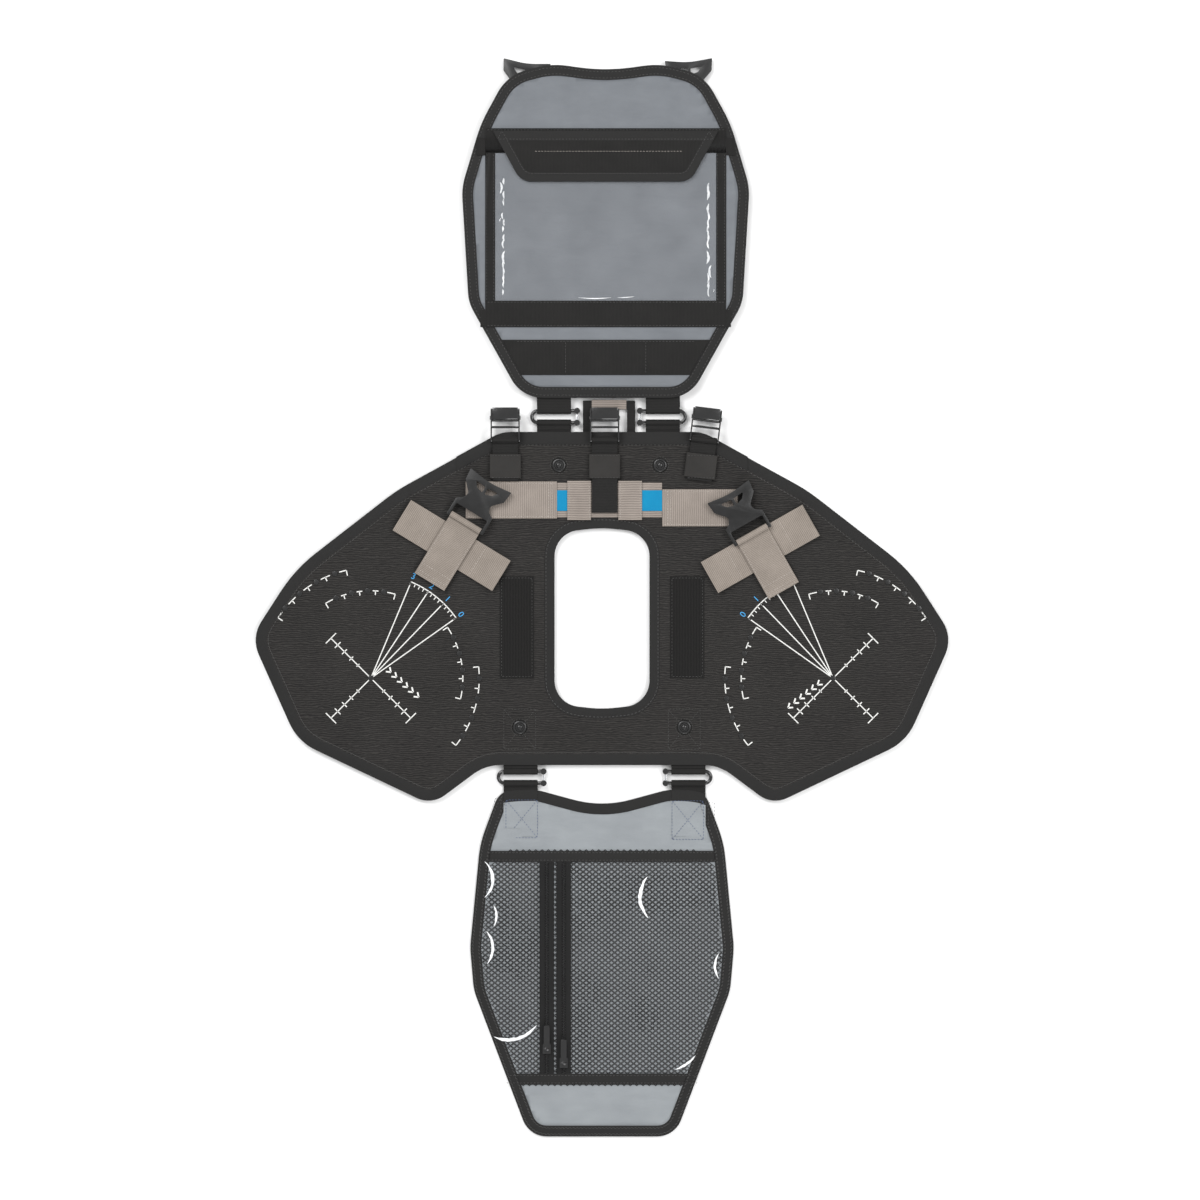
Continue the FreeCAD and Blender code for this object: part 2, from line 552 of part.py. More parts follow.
def build_legs():
    """On each side a cross strap on its grip patch, a leg strap over it and a hook at the leg strap's crest."""
    for name, (x, y, turn) in leg_places().items():
        crest = size(f"{name}_leg_crest")
        start = size(f"{name}_leg_start")
        middle = size(f"{name}_cross_at")
        half = size("leg_width") / 2
        roll = rod("leg_roll", (-half, crest, leg_bar_z), LOOP, "leg_width", along_x=True)
        tail = box("leg_tail", (-half, start, leg_z), "leg_width", f"{name}_leg_crest - {name}_leg_start", DOUBLED)
        bore = rod("leg_bore", (-half - size("overrun"), crest, leg_bar_z), BORE, "leg_width + 2 * overrun",
                   along_x=True)
        strap = cut(f"leg_strap_{name}", fuse("leg_whole", roll, tail), bore)
        node(f"leg_strap_{name}", placed(strap, x, y, 0, turn))
        cross = box("cross", (-size("cross_length") / 2, middle - size("cross_width") / 2, cross_z), "cross_length",
                    "cross_width", "webbing")
        patch = box("patch", (-size("grip_side") / 2, middle - size("grip_side") / 2, cross_z - size("grip")),
                    "grip_side", "grip_side", "grip")
        node(f"cross_strap_{name}", placed(group(f"cross_strap_{name}", cross, patch), x, y, 0, turn))
        bar = Placement(Vector(x, y, 0), Rotation(UP, turn)).multVec(Vector(0, crest, leg_bar_z))
        node(f"leg_hook_{name}", placed(hook(f"leg_hook_{name}"), bar.x, bar.y, bar.z, turn))


def top_hook_places():
    """The bar of each hook behind the upper panel, by side, with its turn; the tips end the whole length."""
    places = {}
    for name in SIDES:
        turn = size(f"{name}_hook_turn")
        angle = math.radians(abs(turn))
        rise = size("hook_length") * math.cos(angle) + size("hook_half_width") * math.sin(angle)
        places[name] = (size(f"{name}_hook_at") + size("upper_shift"), tips_y - rise, turn)
    return places


def build_top_hooks():
    """The two hooks behind the upper panel's top and the webbing that holds them."""
    loops = []
    for name, (x, y, turn) in top_hook_places().items():
        node(f"top_hook_{name}", placed(hook(f"top_hook_{name}"), x, y, ring_z, turn))
        loop = webbing_loop("hook_loop", "leg_width", "hook_tab_length", size("hook_tab_length"), ring_z,
                            upper_back - doubled, -1)
        loops.append(placed(loop, x, y, 0, turn))
    node("hook_loops", group("hook_loops", *loops))


def panel(level, edge, back):
    """A soft panel: a stepped fabric plate and the binding folded over its thinner margin."""
    margin = grown(edge, -size("binding_width"))
    lip = grown(edge, -size("edge_lip"))
    step_z = back + size("panel_skin")
    middle = plate(level + "_middle", margin, back, PANEL_THICK)
    core = plate(level + "_core", lip, step_z, "panel_core")
    fabric = fuse(level + "_cloth", middle, core)
    ring_band = cut(level + "_band", plate(level + "_outer", edge, back, PANEL_THICK),
                    plate(level + "_inner", margin, back, PANEL_THICK))
    binding = cut(level + "_tape", ring_band, plate(level + "_slot", lip, step_z, "panel_core"))
    return fabric, binding, margin


def build_upper_panel():
    """The upper panel with its window, tapes, loop band and flap."""
    shift = size("upper_shift")
    edge = outline(UPPER_OUTLINE, size("upper_half_width"), upper_top, size("upper_height"), shift)
    fabric, binding, margin = panel("upper", edge, upper_back)
    node("upper_fabric", fabric)
    node("upper_binding", binding)

    half = size("window_half_width")
    window_top = upper_top - size("window_drop")
    window_bottom = window_top - size("window_height")
    film = box("window_film", (shift - half, window_bottom, upper_face), "2 * window_half_width", "window_height",
               "vinyl")
    node("window_vinyl", film)
    tape_z = upper_face + size("vinyl")
    top_tape = box("top_tape", (shift - half, window_top - size("top_tape_height") + size("side_tape_width"),
                                tape_z), "2 * window_half_width", "top_tape_height", "tape")
    bottom_tape = box("bottom_tape", (shift - half, window_bottom, tape_z), "2 * window_half_width",
                      "bottom_tape_height", "tape")
    side_tapes = []
    elastics = []
    for side in SIDES.values():
        x = shift - half if side < 0 else shift + half - size("side_tape_width")
        side_tapes.append(box("side_tape", (x, window_bottom + size("bottom_tape_height"), tape_z),
                              "side_tape_width", "window_height - bottom_tape_height - top_tape_height"
                              " + side_tape_width", "tape"))
        out = shift + half if side > 0 else shift - half - size("elastic_width")
        for y in (window_bottom, window_top - size("elastic_height")):
            elastics.append(box("elastic", (out, y, upper_face), "elastic_width", "elastic_height", "vinyl + tape"))
    node("window_tapes", group("window_tapes", top_tape, bottom_tape, *side_tapes))
    node("window_elastics", group("window_elastics", *elastics))

    wide = size("upper_half_width")
    band_box = box("band_box", (shift - wide, upper_bottom + size("band_rise"), upper_face),
                   "2 * upper_half_width", "band_height", "band")
    node("upper_loop_band", common("upper_loop_band", band_box, plate("band_zone", margin, upper_face, "band")))

    top = upper_top - size("flap_drop")
    bottom = top - size("flap_height")
    trapezoid = rounded([(shift - size("flap_top_half"), top, 0), (shift - size("flap_bottom_half"), bottom,
                    size("flap_radius")), (shift + size("flap_bottom_half"), bottom, size("flap_radius")),
                    (shift + size("flap_top_half"), top, 0)])
    inner = grown(trapezoid, -size("flap_binding"))
    board_z = tape_z + size("tape") + size("flap_gap") + size("flap_tape")
    thick = "flap_board + 2 * flap_tape"
    board = fuse("flap_panel", plate("flap_middle", inner, board_z - size("flap_tape"), thick),
                 plate("flap_core", grown(trapezoid, -size("flap_tape")), board_z, "flap_board"))
    rim = cut("flap_rim", plate("flap_outer", trapezoid, board_z - size("flap_tape"), thick),
              plate("flap_inner", inner, board_z - size("flap_tape"), thick))
    hem = rod("flap_hem", (shift - size("flap_top_half"), top, board_z + size("flap_board") / 2),
              "flap_board / 2 + flap_tape", "2 * flap_top_half", along_x=True)
    node("flap_panel", board)
    node("flap_binding", cut("flap_binding", fuse("hemmed_rim", rim, hem),
                             plate("flap_slot", grown(trapezoid, -size("flap_tape")), board_z, "flap_board")))


def build_lower_panel():
    """The lower panel with its mesh pockets, clear windows, tapes and zips."""
    edge = outline(LOWER_OUTLINE, size("lower_half_width"), lower_top, size("lower_height"))
    fabric, binding, margin = panel("lower", edge, lower_back)
    low = []
    for name, x in ring_places("lower").items():
        middle = x + SIDES[name] * size("tab_shift") - size("tab_width") / 2
        y = lower_ring_y - size("ring_half_pitch") - size("panel_tab_length")
        low.append(box("tail_slot", (middle, y, lower_back), "tab_width", "panel_tab_length", DOUBLED))
    slots = group("tail_slots", *low)
    node("lower_fabric", cut("lower_fabric", fabric, slots))
    node("lower_binding", cut("lower_binding", binding, slots))

    wide = size("lower_half_width")
    top = lower_top - size("pocket_drop")
    bottom = top - size("pocket_height")

    def across(name, y, height, z, thick):
        """A layer across the panel between its bindings."""
        band_box = box(name + "_box", (-wide, y, z), "2 * lower_half_width", height, thick)
        return common(name, band_box, plate(name + "_zone", margin, z, thick))

    film_z = lower_face + size("mesh")
    tape_z = film_z + size("pocket_film")
    node("mesh_pockets", across("mesh_pockets", bottom, "pocket_height", lower_face, "mesh"))
    node("pocket_windows", across("pocket_windows", bottom, "pocket_height", film_z, "pocket_film"))
    tapes = [across("pocket_tape_low", bottom, "pocket_tape", tape_z, "zip_tape"),
             across("pocket_tape_top", top - size("pocket_tape"), "pocket_tape", tape_z, "zip_tape")]
    node("pocket_tapes", group("pocket_tapes", *tapes))
    run = "pocket_height - 2 * pocket_tape"
    start = bottom + size("pocket_tape")
    zip_tapes = []
    coils = []
    coil_z = tape_z + size("zip_tape")
    for name, side in SIDES.items():
        x = size("zip_centre") + side * size("zip_spacing") / 2
        zip_tapes.append(box("zip", (x - size("zip_tape_width") / 2, start, tape_z), "zip_tape_width", run,
                             "zip_tape"))
        coils.append(box("coil", (x - size("coil_width") / 2, start, coil_z), "coil_width", run, "coil"))
        build_slider(name, x, bottom + size(f"{name}_slider_rise"), coil_z)
    node("zipper_tapes", group("zipper_tapes", *zip_tapes))
    node("zipper_coils", group("zipper_coils", *coils))


def slider_levels(coil_z):
    """Heights of a slider's underside and roof and of its bridge's axis."""
    under = coil_z + size("slider_play")
    roof = coil_z + size("coil") + size("slider_play") + size("slider_roof")
    return under, roof, roof + size("bridge_height")


def build_slider(name, x, y, coil_z):
    """One zip slider astride its coil and the pull on the slider's bridge."""
    under, roof, axis = slider_levels(coil_z)
    half = size("slider_width") / 2
    length = size("slider_length")
    body = box("slider_body", (x - half, y - length / 2, under), "slider_width", "slider_length",
               "coil + slider_roof")
    cavity_half = size("coil_width") / 2 + size("slider_play")
    cavity = box("slider_cavity", (x - cavity_half, y - length, under), "coil_width + 2 * slider_play",
                 "2 * slider_length", "coil")
    span = size("bridge_half_span")
    post = size("bridge_post")
    posts = [box("bridge_post", (x + place, y - size("bridge_radius"), roof), "bridge_post", "2 * bridge_radius",
                 "bridge_height + bridge_radius") for place in (-span - post, span)]
    bar = rod("bridge_bar", (x - span, y, axis), "bridge_radius", "2 * bridge_half_span", along_x=True)
    saddle = cut("slider_saddle", body, cavity)
    node(f"slider_{name}", fuse(f"slider_{name}", saddle, *posts, bar))

    barrel_half = span - size("slider_play")
    barrel = rod("pull_barrel", (x - barrel_half, y, axis), "pull_eye_radius",
                 "2 * bridge_half_span - 2 * slider_play", along_x=True)
    neck = box("pull_neck", (x - barrel_half, y, axis - size("pull_thick") / 2),
               "2 * bridge_half_span - 2 * slider_play", "slider_length / 2", "pull_thick")
    width = size("pull_width")
    near = y + size("pull_grip_start")
    far = y + size("pull_length")
    shoulder = size("pull_shoulder_radius")
    end = size("pull_end_radius")
    grip = plate("pull_grip", rounded([(x - width / 2, near, shoulder), (x + width / 2, near, shoulder),
                                       (x + width / 2, far, end), (x - width / 2, far, end)]),
                 axis - size("pull_thick") / 2, "pull_thick")
    hole = rod("pull_bore", (x - span, y, axis), "bridge_radius + pull_play", "2 * bridge_half_span", along_x=True)
    node(f"pull_{name}", cut(f"pull_{name}", fuse("pull_whole", barrel, neck, grip), hole))


def buckle_places():
    """Each buckle's end bar, by name: x, y and turn; the straps hang from the same places."""
    y = base_top - size("buckle_drop")
    middle = size("buckle_shift")
    pitch = size("buckle_pitch")
    return {
        "left": (middle - pitch, y, 0.0),
        "middle": (middle, y, 0.0),
        "right": (middle + pitch, y, size("side_buckle_turn")),
    }


strap_z = base_face + size("wrap")
buckle_z = strap_z + size("strap_rise") + loop_radius


def build_buckles():
    """Three cam buckles on their straps, with a keeper on each strap."""
    straps = []
    keepers = []
    for name, (x, y, turn) in buckle_places().items():
        length = "centre_strap_length" if name == "middle" else "strap_length"
        half = size("strap_width") / 2
        roll = rod("strap_roll", (-half, 0, buckle_z), LOOP, "strap_width", along_x=True)
        tail = box("strap_tail", (-half, -size(length), strap_z), "strap_width", length, "2 * webbing + strap_rise")
        foot = box("strap_foot", (-half, -size("strap_length"), base_face), "strap_width",
                   "strap_length - foot_gap", "wrap")
        bore = rod("strap_bore", (-half - size("overrun"), 0, buckle_z), BORE, "strap_width + 2 * overrun",
                   along_x=True)
        straps.append(placed(cut("strap", fuse("strap_whole", roll, tail, foot), bore), x, y, 0, turn))
        wide = size("keeper_width")
        low_y = -size("keeper_drop") - size("keeper_height")
        cover = box("keeper_cover", (-wide / 2, low_y, base_face), "keeper_width", "keeper_height",
                    "wrap + strap_rise + 2 * webbing + keeper_play + keeper_roof")
        tunnel = box("keeper_tunnel", (-wide / 2 + size("keeper_wall"), low_y - size("overrun"), base_face),
                     "keeper_width - 2 * keeper_wall", "keeper_height + 2 * overrun",
                     "wrap + strap_rise + 2 * webbing + keeper_play")
        keepers.append(placed(cut("keeper", cover, tunnel), x, y, 0, turn))
        node(f"cam_frame_{name}", placed(cam_frame(name), x, y, buckle_z, turn))
        node(f"cam_lever_{name}", placed(cam_lever(name), x, y, buckle_z, turn))
    node("buckle_straps", group("buckle_straps", *straps))
    node("strap_keepers", group("strap_keepers", *keepers))


def cam_frame(name):
    """A buckle's frame about its end bar, which lies along X at the origin; the frame runs along +Y."""
    gap = size("strap_width") / 2 + size("strap_play")
    rails = []
    for x in (-gap - size("rail"), gap):
        eye = rod("rail_eye", (x, 0, 0), "rail_radius", "rail", along_x=True)
        run = box("rail_run", (x, 0, -size("rail_radius")), "rail", "rail_length", "rail_radius + rail_top")
        rails.append(fuse("rail", eye, run))
    bury = size("bar_bury")
    end_bar = rod("end_bar", (-gap - bury, 0, 0), "rod_radius", f"{RAIL_GAP} + 2 * bar_bury", along_x=True)
    middle_bar = box("middle_bar", (-gap - bury, size("middle_bar_at"), -size("middle_bar") / 2),
                     f"{RAIL_GAP} + 2 * bar_bury", "middle_bar_width", "middle_bar")
    floor = box("buckle_floor", (-gap - bury, size("floor_at"), -size("rail_radius")),
                f"{RAIL_GAP} + 2 * bar_bury", "rail_length - floor_at", "buckle_floor")
    pin_y = size("cam_pin_at")
    pin_z = size("cam_pin_rise")
    pin = rod("cam_pin", (-gap - size("rail"), pin_y, pin_z), "cam_pin_radius", f"{RAIL_GAP} + 2 * rail",
              along_x=True)
    heads = [rod("pin_head", (x, pin_y, pin_z), "pin_head_radius", "pin_head", along_x=True)
             for x in (-gap - size("rail") - size("pin_head"), gap + size("rail"))]
    holes = rod("pin_holes", (-gap - size("rail") - size("overrun"), pin_y, pin_z), "cam_pin_radius",
                f"{RAIL_GAP} + 2 * rail + 2 * overrun", along_x=True)
    body = cut("frame_body", fuse("frame_whole", *rails, end_bar, middle_bar, floor), holes)
    return group(f"cam_frame_{name}", body, fuse("headed_pin", pin, *heads))


def cam_lever(name):
    """A buckle's lever about the same origin as its frame: the cam on the pin, a plate and a thumb lip."""
    half = size("strap_width") / 2 + size("strap_play") - size("cam_side_play")
    width = "strap_width + 2 * strap_play - 2 * cam_side_play"
    pin_y = size("cam_pin_at")
    pin_z = size("cam_pin_rise")
    cam = rod("cam", (-half, pin_y, pin_z), "cam_radius", width, along_x=True)
    top = pin_z + size("cam_radius")
    thumb = box("lever_plate", (-half, pin_y, top - size("lever")), width, "lever_length", "lever")
    lip = box("lever_lip", (-half, pin_y + size("lever_length"), top - size("lever_lip_height")), width,
              "lever_lip", "lever_lip_height")
    bore = rod("cam_bore", (-half - size("overrun"), pin_y, pin_z), "cam_pin_radius + cam_play",
               f"{width} + 2 * overrun", along_x=True)
    return cut(f"cam_lever_{name}", fuse("lever_whole", cam, thumb, lip), bore)


def write_parts():
    """Recomputes the document, checks every object and writes each sub-part to its own file."""
    doc.recompute()
    failed = [thing.Name for thing in doc.Objects if {"Invalid", "Error"} & set(thing.State)]
    if failed:
        raise RuntimeError(f"objects failed: {failed}")
    os.makedirs("parts", exist_ok=True)
    for thing in NODES:
        if thing.Shape.isNull() or not thing.Shape.isValid() or not thing.Shape.Solids:
            raise RuntimeError(f"bad shape: {thing.Label}")
    for thing in NODES:
        thing.Shape.exportStep(f"parts/{thing.Label}.step")


build_base()
build_base_fittings()
build_belt()
build_handle()
build_hinges()
build_legs()
build_upper_panel()
build_top_hooks()
build_lower_panel()
build_buckles()
write_parts()
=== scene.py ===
"""The looks of a pocket harness panel: a stiff butterfly base, two hinged pocket panels, straps and hardware."""
import json
import logging
import math
from collections.abc import Callable, Iterable, Sequence
from dataclasses import dataclass
from enum import Enum

import bmesh
import bpy
from bmesh.types import BMesh
from mathutils import Matrix, Vector, noise

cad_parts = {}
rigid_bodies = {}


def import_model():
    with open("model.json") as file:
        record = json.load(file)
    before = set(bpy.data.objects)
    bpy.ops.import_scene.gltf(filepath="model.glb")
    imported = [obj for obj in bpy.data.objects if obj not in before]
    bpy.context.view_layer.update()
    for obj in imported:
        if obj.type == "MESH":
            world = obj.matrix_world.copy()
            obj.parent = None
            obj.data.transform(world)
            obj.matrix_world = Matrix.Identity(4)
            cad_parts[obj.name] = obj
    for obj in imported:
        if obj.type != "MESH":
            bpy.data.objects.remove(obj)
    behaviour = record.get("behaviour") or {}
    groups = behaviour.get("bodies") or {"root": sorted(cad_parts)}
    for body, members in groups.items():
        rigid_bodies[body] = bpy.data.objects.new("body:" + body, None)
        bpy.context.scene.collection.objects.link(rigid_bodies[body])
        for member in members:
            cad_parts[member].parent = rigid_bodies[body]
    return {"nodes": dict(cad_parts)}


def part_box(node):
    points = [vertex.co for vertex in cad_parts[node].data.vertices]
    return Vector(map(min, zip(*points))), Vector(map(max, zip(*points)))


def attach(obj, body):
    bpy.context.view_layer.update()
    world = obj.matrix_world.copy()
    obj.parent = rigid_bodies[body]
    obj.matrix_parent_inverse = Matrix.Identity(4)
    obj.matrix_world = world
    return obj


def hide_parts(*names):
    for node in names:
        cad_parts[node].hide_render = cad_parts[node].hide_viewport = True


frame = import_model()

log = logging.getLogger("pocket_harness")
MM = 0.001
Point = tuple[float, float]
Colour = tuple[float, float, float]
Socket = bpy.types.NodeSocket
Value = Socket | float
Crescent = tuple[float, float, float, float, float, float]
LEG_PIVOT = (253.8, -88.6)
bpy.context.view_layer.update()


class Side(Enum):
    """The object's two sides, with the sign of X on each."""

    LEFT = -1
    RIGHT = 1

    @property
    def word(self) -> str:
        """The side's name as the bodies spell it."""
        return self.name.lower()


def shade(red: int, green: int, blue: int) -> Colour:
    """A linear colour from its everyday 0 to 255 numbers.

    Args:
        red: Red, 0 to 255.
        green: Green, 0 to 255.
        blue: Blue, 0 to 255.

    Returns:
        The colour as the shader reads it.
    """
    parts = [part / 255 for part in (red, green, blue)]
    return tuple(part / 12.92 if part <= 0.04045 else ((part + 0.055) / 1.055) ** 2.4 for part in parts)


class Kit:
    """A material's node tree, with a method for each kind of node that the finishes use. Lengths are millimetres."""

    def __init__(self, name: str) -> None:
        """Starts a material.

        Args:
            name: The material's name.
        """
        self.material = bpy.data.materials.new(name)
        self.material.use_nodes = True
        self.tree = self.material.node_tree
        self.shader = self.tree.nodes["Principled BSDF"]
        self.place = self.add("ShaderNodeVectorMath", operation="SCALE")
        self.feed(self.place.inputs[0], self.add("ShaderNodeTexCoord").outputs["Object"])
        self.place.inputs["Scale"].default_value = 1000.0
        split = self.add("ShaderNodeSeparateXYZ")
        self.feed(split.inputs[0], self.place.outputs[0])
        self.x, self.y = split.outputs[0], split.outputs[1]

    def add(self, kind: str, **settings: object) -> bpy.types.Node:
        """Adds a node.

        Args:
            kind: The node's type.
            settings: Its properties.

        Returns:
            The node.
        """
        made = self.tree.nodes.new(kind)
        for key, setting in settings.items():
            setattr(made, key, setting)
        return made

    def feed(self, socket: Socket, value: object) -> None:
        """Links a socket to an output, or sets its number.

        Args:
            socket: The input.
            value: An output socket, or the number or colour itself.
        """
        if isinstance(value, bpy.types.NodeSocket):
            self.tree.links.new(value, socket)
        else:
            socket.default_value = value

    def math(self, operation: str, first: Value, second: Value = 0.0) -> Socket:
        """A sum of two values.

        Args:
            operation: The sum's name.
            first: One value.
            second: The other, where the sum has two.

        Returns:
            The result.
        """
        made = self.add("ShaderNodeMath", operation=operation)
        self.feed(made.inputs[0], first)
        self.feed(made.inputs[1], second)
        return made.outputs[0]

    def times(self, first: Value, second: Value) -> Socket:
        """Two values multiplied."""
        return self.math("MULTIPLY", first, second)

    def blend(self, first: Value, share: float, second: Value, other: float) -> Socket:
        """Two values added, each by its own share."""
        return self.math("ADD", self.times(first, share), self.times(second, other))

    def grain(self, across: float, detail: float = 2.0, stretch: Colour = (1, 1, 1)) -> Socket:
        """Soft random patches.

        Args:
            across: A patch's width.
            detail: How many finer layers it has.
            stretch: How much shorter the patches are along each axis.

        Returns:
            A value from 0 to 1.
        """
        scaled = self.add("ShaderNodeVectorMath", operation="MULTIPLY")
        self.feed(scaled.inputs[0], self.place.outputs[0])
        scaled.inputs[1].default_value = stretch
        made = self.add("ShaderNodeTexNoise")
        self.feed(made.inputs["Vector"], scaled.outputs[0])
        made.inputs["Scale"].default_value = 1 / across
        made.inputs["Detail"].default_value = detail
        return made.outputs["Fac"]

    def turned(self, degrees: float) -> tuple[Socket, Socket]:
        """Places along and across a direction.

        Args:
            degrees: The direction, from +X towards +Y.

        Returns:
            The distance along it and the distance across it.
        """
        cosine, sine = math.cos(math.radians(degrees)), math.sin(math.radians(degrees))
        along = self.math("ADD", self.math("MULTIPLY", self.x, cosine), self.math("MULTIPLY", self.y, sine))
        across = self.math("SUBTRACT", self.math("MULTIPLY", self.y, cosine), self.math("MULTIPLY", self.x, sine))
        return along, across

    def ribs(self, place: Value, period: float, wobble: Value = 0.0) -> Socket:
        """Even ribs.

        Args:
            place: The distance that they repeat along.
            period: One rib and its gap.
            wobble: How far they wander, in periods.

        Returns:
            A value from 0 in a gap to 1 on a rib.
        """
        phase = self.math("ADD", self.math("DIVIDE", place, period), wobble)
        wave = self.math("SINE", self.math("MULTIPLY", phase, 2 * math.pi))
        return self.math("ADD", self.math("MULTIPLY", wave, 0.5), 0.5)

    def tint(self, factor: Value, low: Colour | Socket, high: Colour | Socket) -> Socket:
        """A colour between two.

        Args:
            factor: 0 for the first, 1 for the second.
            low: The first colour.
            high: The second colour.

        Returns:
            The mixed colour.
        """
        made = self.add("ShaderNodeMix", data_type="RGBA")
        self.feed(made.inputs["Factor"], factor)
        for socket, colour in ((made.inputs[6], low), (made.inputs[7], high)):
            self.feed(socket, colour if isinstance(colour, bpy.types.NodeSocket) else (*colour, 1.0))
        return made.outputs[2]

    def between(self, factor: Value, low: float, high: float) -> Socket:
        """A number between two, as a factor goes from 0 to 1."""
        return self.math("ADD", self.math("MULTIPLY", factor, high - low), low)

    def dress(self, colour: Socket, roughness: Value, relief: Socket, height: float, **fixed: float) -> None:
        """Feeds the shader.

        Args:
            colour: The surface's colour.
            roughness: Its roughness.
            relief: Its height, from 0 to 1.
            height: What 1 stands for.
            fixed: Numbers for the shader's other sockets, by their names with underscores.
        """
        self.feed(self.shader.inputs["Base Color"], colour)
        self.feed(self.shader.inputs["Roughness"], roughness)
        bump = self.add("ShaderNodeBump")
        bump.inputs["Distance"].default_value = height * MM
        self.feed(bump.inputs["Height"], relief)
        self.feed(self.shader.inputs["Normal"], bump.outputs[0])
        for name, number in fixed.items():
            self.shader.inputs[name.replace("_", " ")].default_value = number


@dataclass(frozen=True)
class Finish:
    """A surface finish. Each kind paints itself in its own way."""

    name: str
    dark: Colour
    light: Colour

    def material(self) -> bpy.types.Material:
        """The finish's material, made the first time that it is asked for.

        Returns:
            The material.
        """
        known = bpy.data.materials.get(self.name)
        if known:
            return known
        kit = Kit(self.name)
        self.paint(kit)
        return kit.material

    def paint(self, kit: Kit) -> None:
        """Paints the material.

        Args:
            kit: The material's node tree.
        """
        raise NotImplementedError


@dataclass(frozen=True)
class RippleCloth(Finish):
    """The base's tough cloth, with short crosswise ripples and a fine weave under them."""

    ripple: float = 2.3
    wander: float = 9.0

    def paint(self, kit: Kit) -> None:
        """Paints broken ripples over a fine weave, lighter on the ripple crests as a painted highlight, with a slow
        change of tone.

        Args:
            kit: The material's node tree.
        """
        drift = kit.times(kit.grain(self.wander, 2.0, (0.8, 1.6, 1)), 2.2)
        rows = kit.ribs(kit.y, self.ripple, drift)
        broken = kit.times(rows, kit.between(kit.grain(3.2, 1.0, (0.55, 1.3, 1)), 0.25, 1.25))
        weave = kit.times(kit.ribs(kit.x, 0.75), kit.ribs(kit.y, 0.62))
        relief = kit.math("ADD", broken, kit.times(weave, 0.35))
        # The colour follows the ripples: a painted highlight on their crests, mixed with slow random tone.
        tone = kit.blend(broken, 0.75, kit.grain(60.0), 0.25)
        kit.dress(kit.tint(tone, self.dark, self.light), kit.between(weave, 0.62, 0.86), relief, 0.32,
                  Sheen_Weight=0.03, Sheen_Roughness=0.5, Specular_IOR_Level=0.18)


@dataclass(frozen=True)
class Webbing(Finish):
    """Woven strapping with ribs across it and a twill over them."""

    lie: float = 0.0
    rib: float = 1.7
    relief: float = 0.28
    twill: bool = True

    def paint(self, kit: Kit) -> None:
        """Paints ribs square to the strap's run, a twill, and worn lighter threads.

        Args:
            kit: The material's node tree.
        """
        along, across = kit.turned(self.lie)
        ribs = kit.ribs(along, self.rib, kit.times(kit.grain(14.0), 0.5))
        threads = kit.ribs(across, 0.9)
        if self.twill:
            threads = kit.ribs(kit.math("ADD", across, kit.times(along, 0.6)), 1.1)
        woven = kit.blend(ribs, 0.62, threads, 0.38)
        tone = kit.blend(woven, 0.62, kit.grain(22.0, 4.0), 0.38)
        kit.dress(kit.tint(tone, self.dark, self.light), kit.between(threads, 0.6, 0.82), woven, self.relief,
                  Sheen_Weight=0.04, Sheen_Roughness=0.4, Specular_IOR_Level=0.2)


@dataclass(frozen=True)
class Tape(Finish):
    """Edge tape: smoother than webbing, with a fine close grain."""

    grain: float = 0.9
    relief: float = 0.16

    def paint(self, kit: Kit) -> None:
        """Paints a close grain and rubbed, lighter patches.

        Args:
            kit: The material's node tree.
        """
        fine = kit.times(kit.ribs(kit.x, self.grain), kit.ribs(kit.y, self.grain))
        rubbed = kit.grain(26.0, 4.0)
        tone = kit.blend(fine, 0.4, rubbed, 0.5)
        kit.dress(kit.tint(tone, self.dark, self.light), kit.between(rubbed, 0.55, 0.8), fine, self.relief,
                  Sheen_Weight=0.03, Specular_IOR_Level=0.25)


@dataclass(frozen=True)
class LoopPile(Finish):
    """The looped half of a hook-and-loop strip: a dense matt pile."""

    def paint(self, kit: Kit) -> None:
        """Paints a dense curly pile in faint rows.

        Args:
            kit: The material's node tree.
        """
        curls = kit.grain(0.9, 4.0)
        rows = kit.ribs(kit.x, 3.1, kit.times(kit.grain(5.0), 0.6))
        pile = kit.blend(curls, 0.7, rows, 0.3)
        kit.dress(kit.tint(pile, self.dark, self.light), kit.between(curls, 0.85, 1.0), pile, 0.5,
                  Sheen_Weight=0.05, Sheen_Roughness=0.7, Specular_IOR_Level=0.1)


@dataclass(frozen=True)
class CoatedCloth(Finish):
    """The panels' slate cloth: a fine plain weave under a soft coating."""

    def paint(self, kit: Kit) -> None:
        """Paints a plain weave, with handling marks in tone and gloss.

        Args:
            kit: The material's node tree.
        """
        weave = kit.times(kit.ribs(kit.x, 0.55), kit.ribs(kit.y, 0.55))
        marks = kit.grain(48.0, 5.0)
        creases = kit.grain(17.0, 3.0, (0.6, 1.5, 1))
        tone = kit.blend(marks, 0.62, creases, 0.38)
        relief = kit.blend(weave, 0.12, creases, 0.88)
        kit.dress(kit.tint(tone, self.dark, self.light), kit.between(marks, 0.42, 0.6), relief, 0.9,
                  Sheen_Weight=0.04, Specular_IOR_Level=0.4)


@dataclass(frozen=True)
class ClearFilm(Finish):
    """Clear vinyl: almost unseen face on, glossy where it buckles."""

    cover: float = 0.22

    def paint(self, kit: Kit) -> None:
        """Paints a glossy see-through surface with a slow buckle and faint hazing.

        Args:
            kit: The material's node tree.
        """
        haze = kit.grain(30.0, 4.0)
        buckle = kit.grain(24.0, 2.0, (1.0, 0.7, 1))
        kit.dress(kit.tint(haze, self.dark, self.light), kit.between(haze, 0.04, 0.1), buckle, 2.2,
                  Alpha=self.cover, IOR=1.9, Coat_Weight=1.0, Coat_Roughness=0.03)
        kit.material.surface_render_method = "BLENDED"


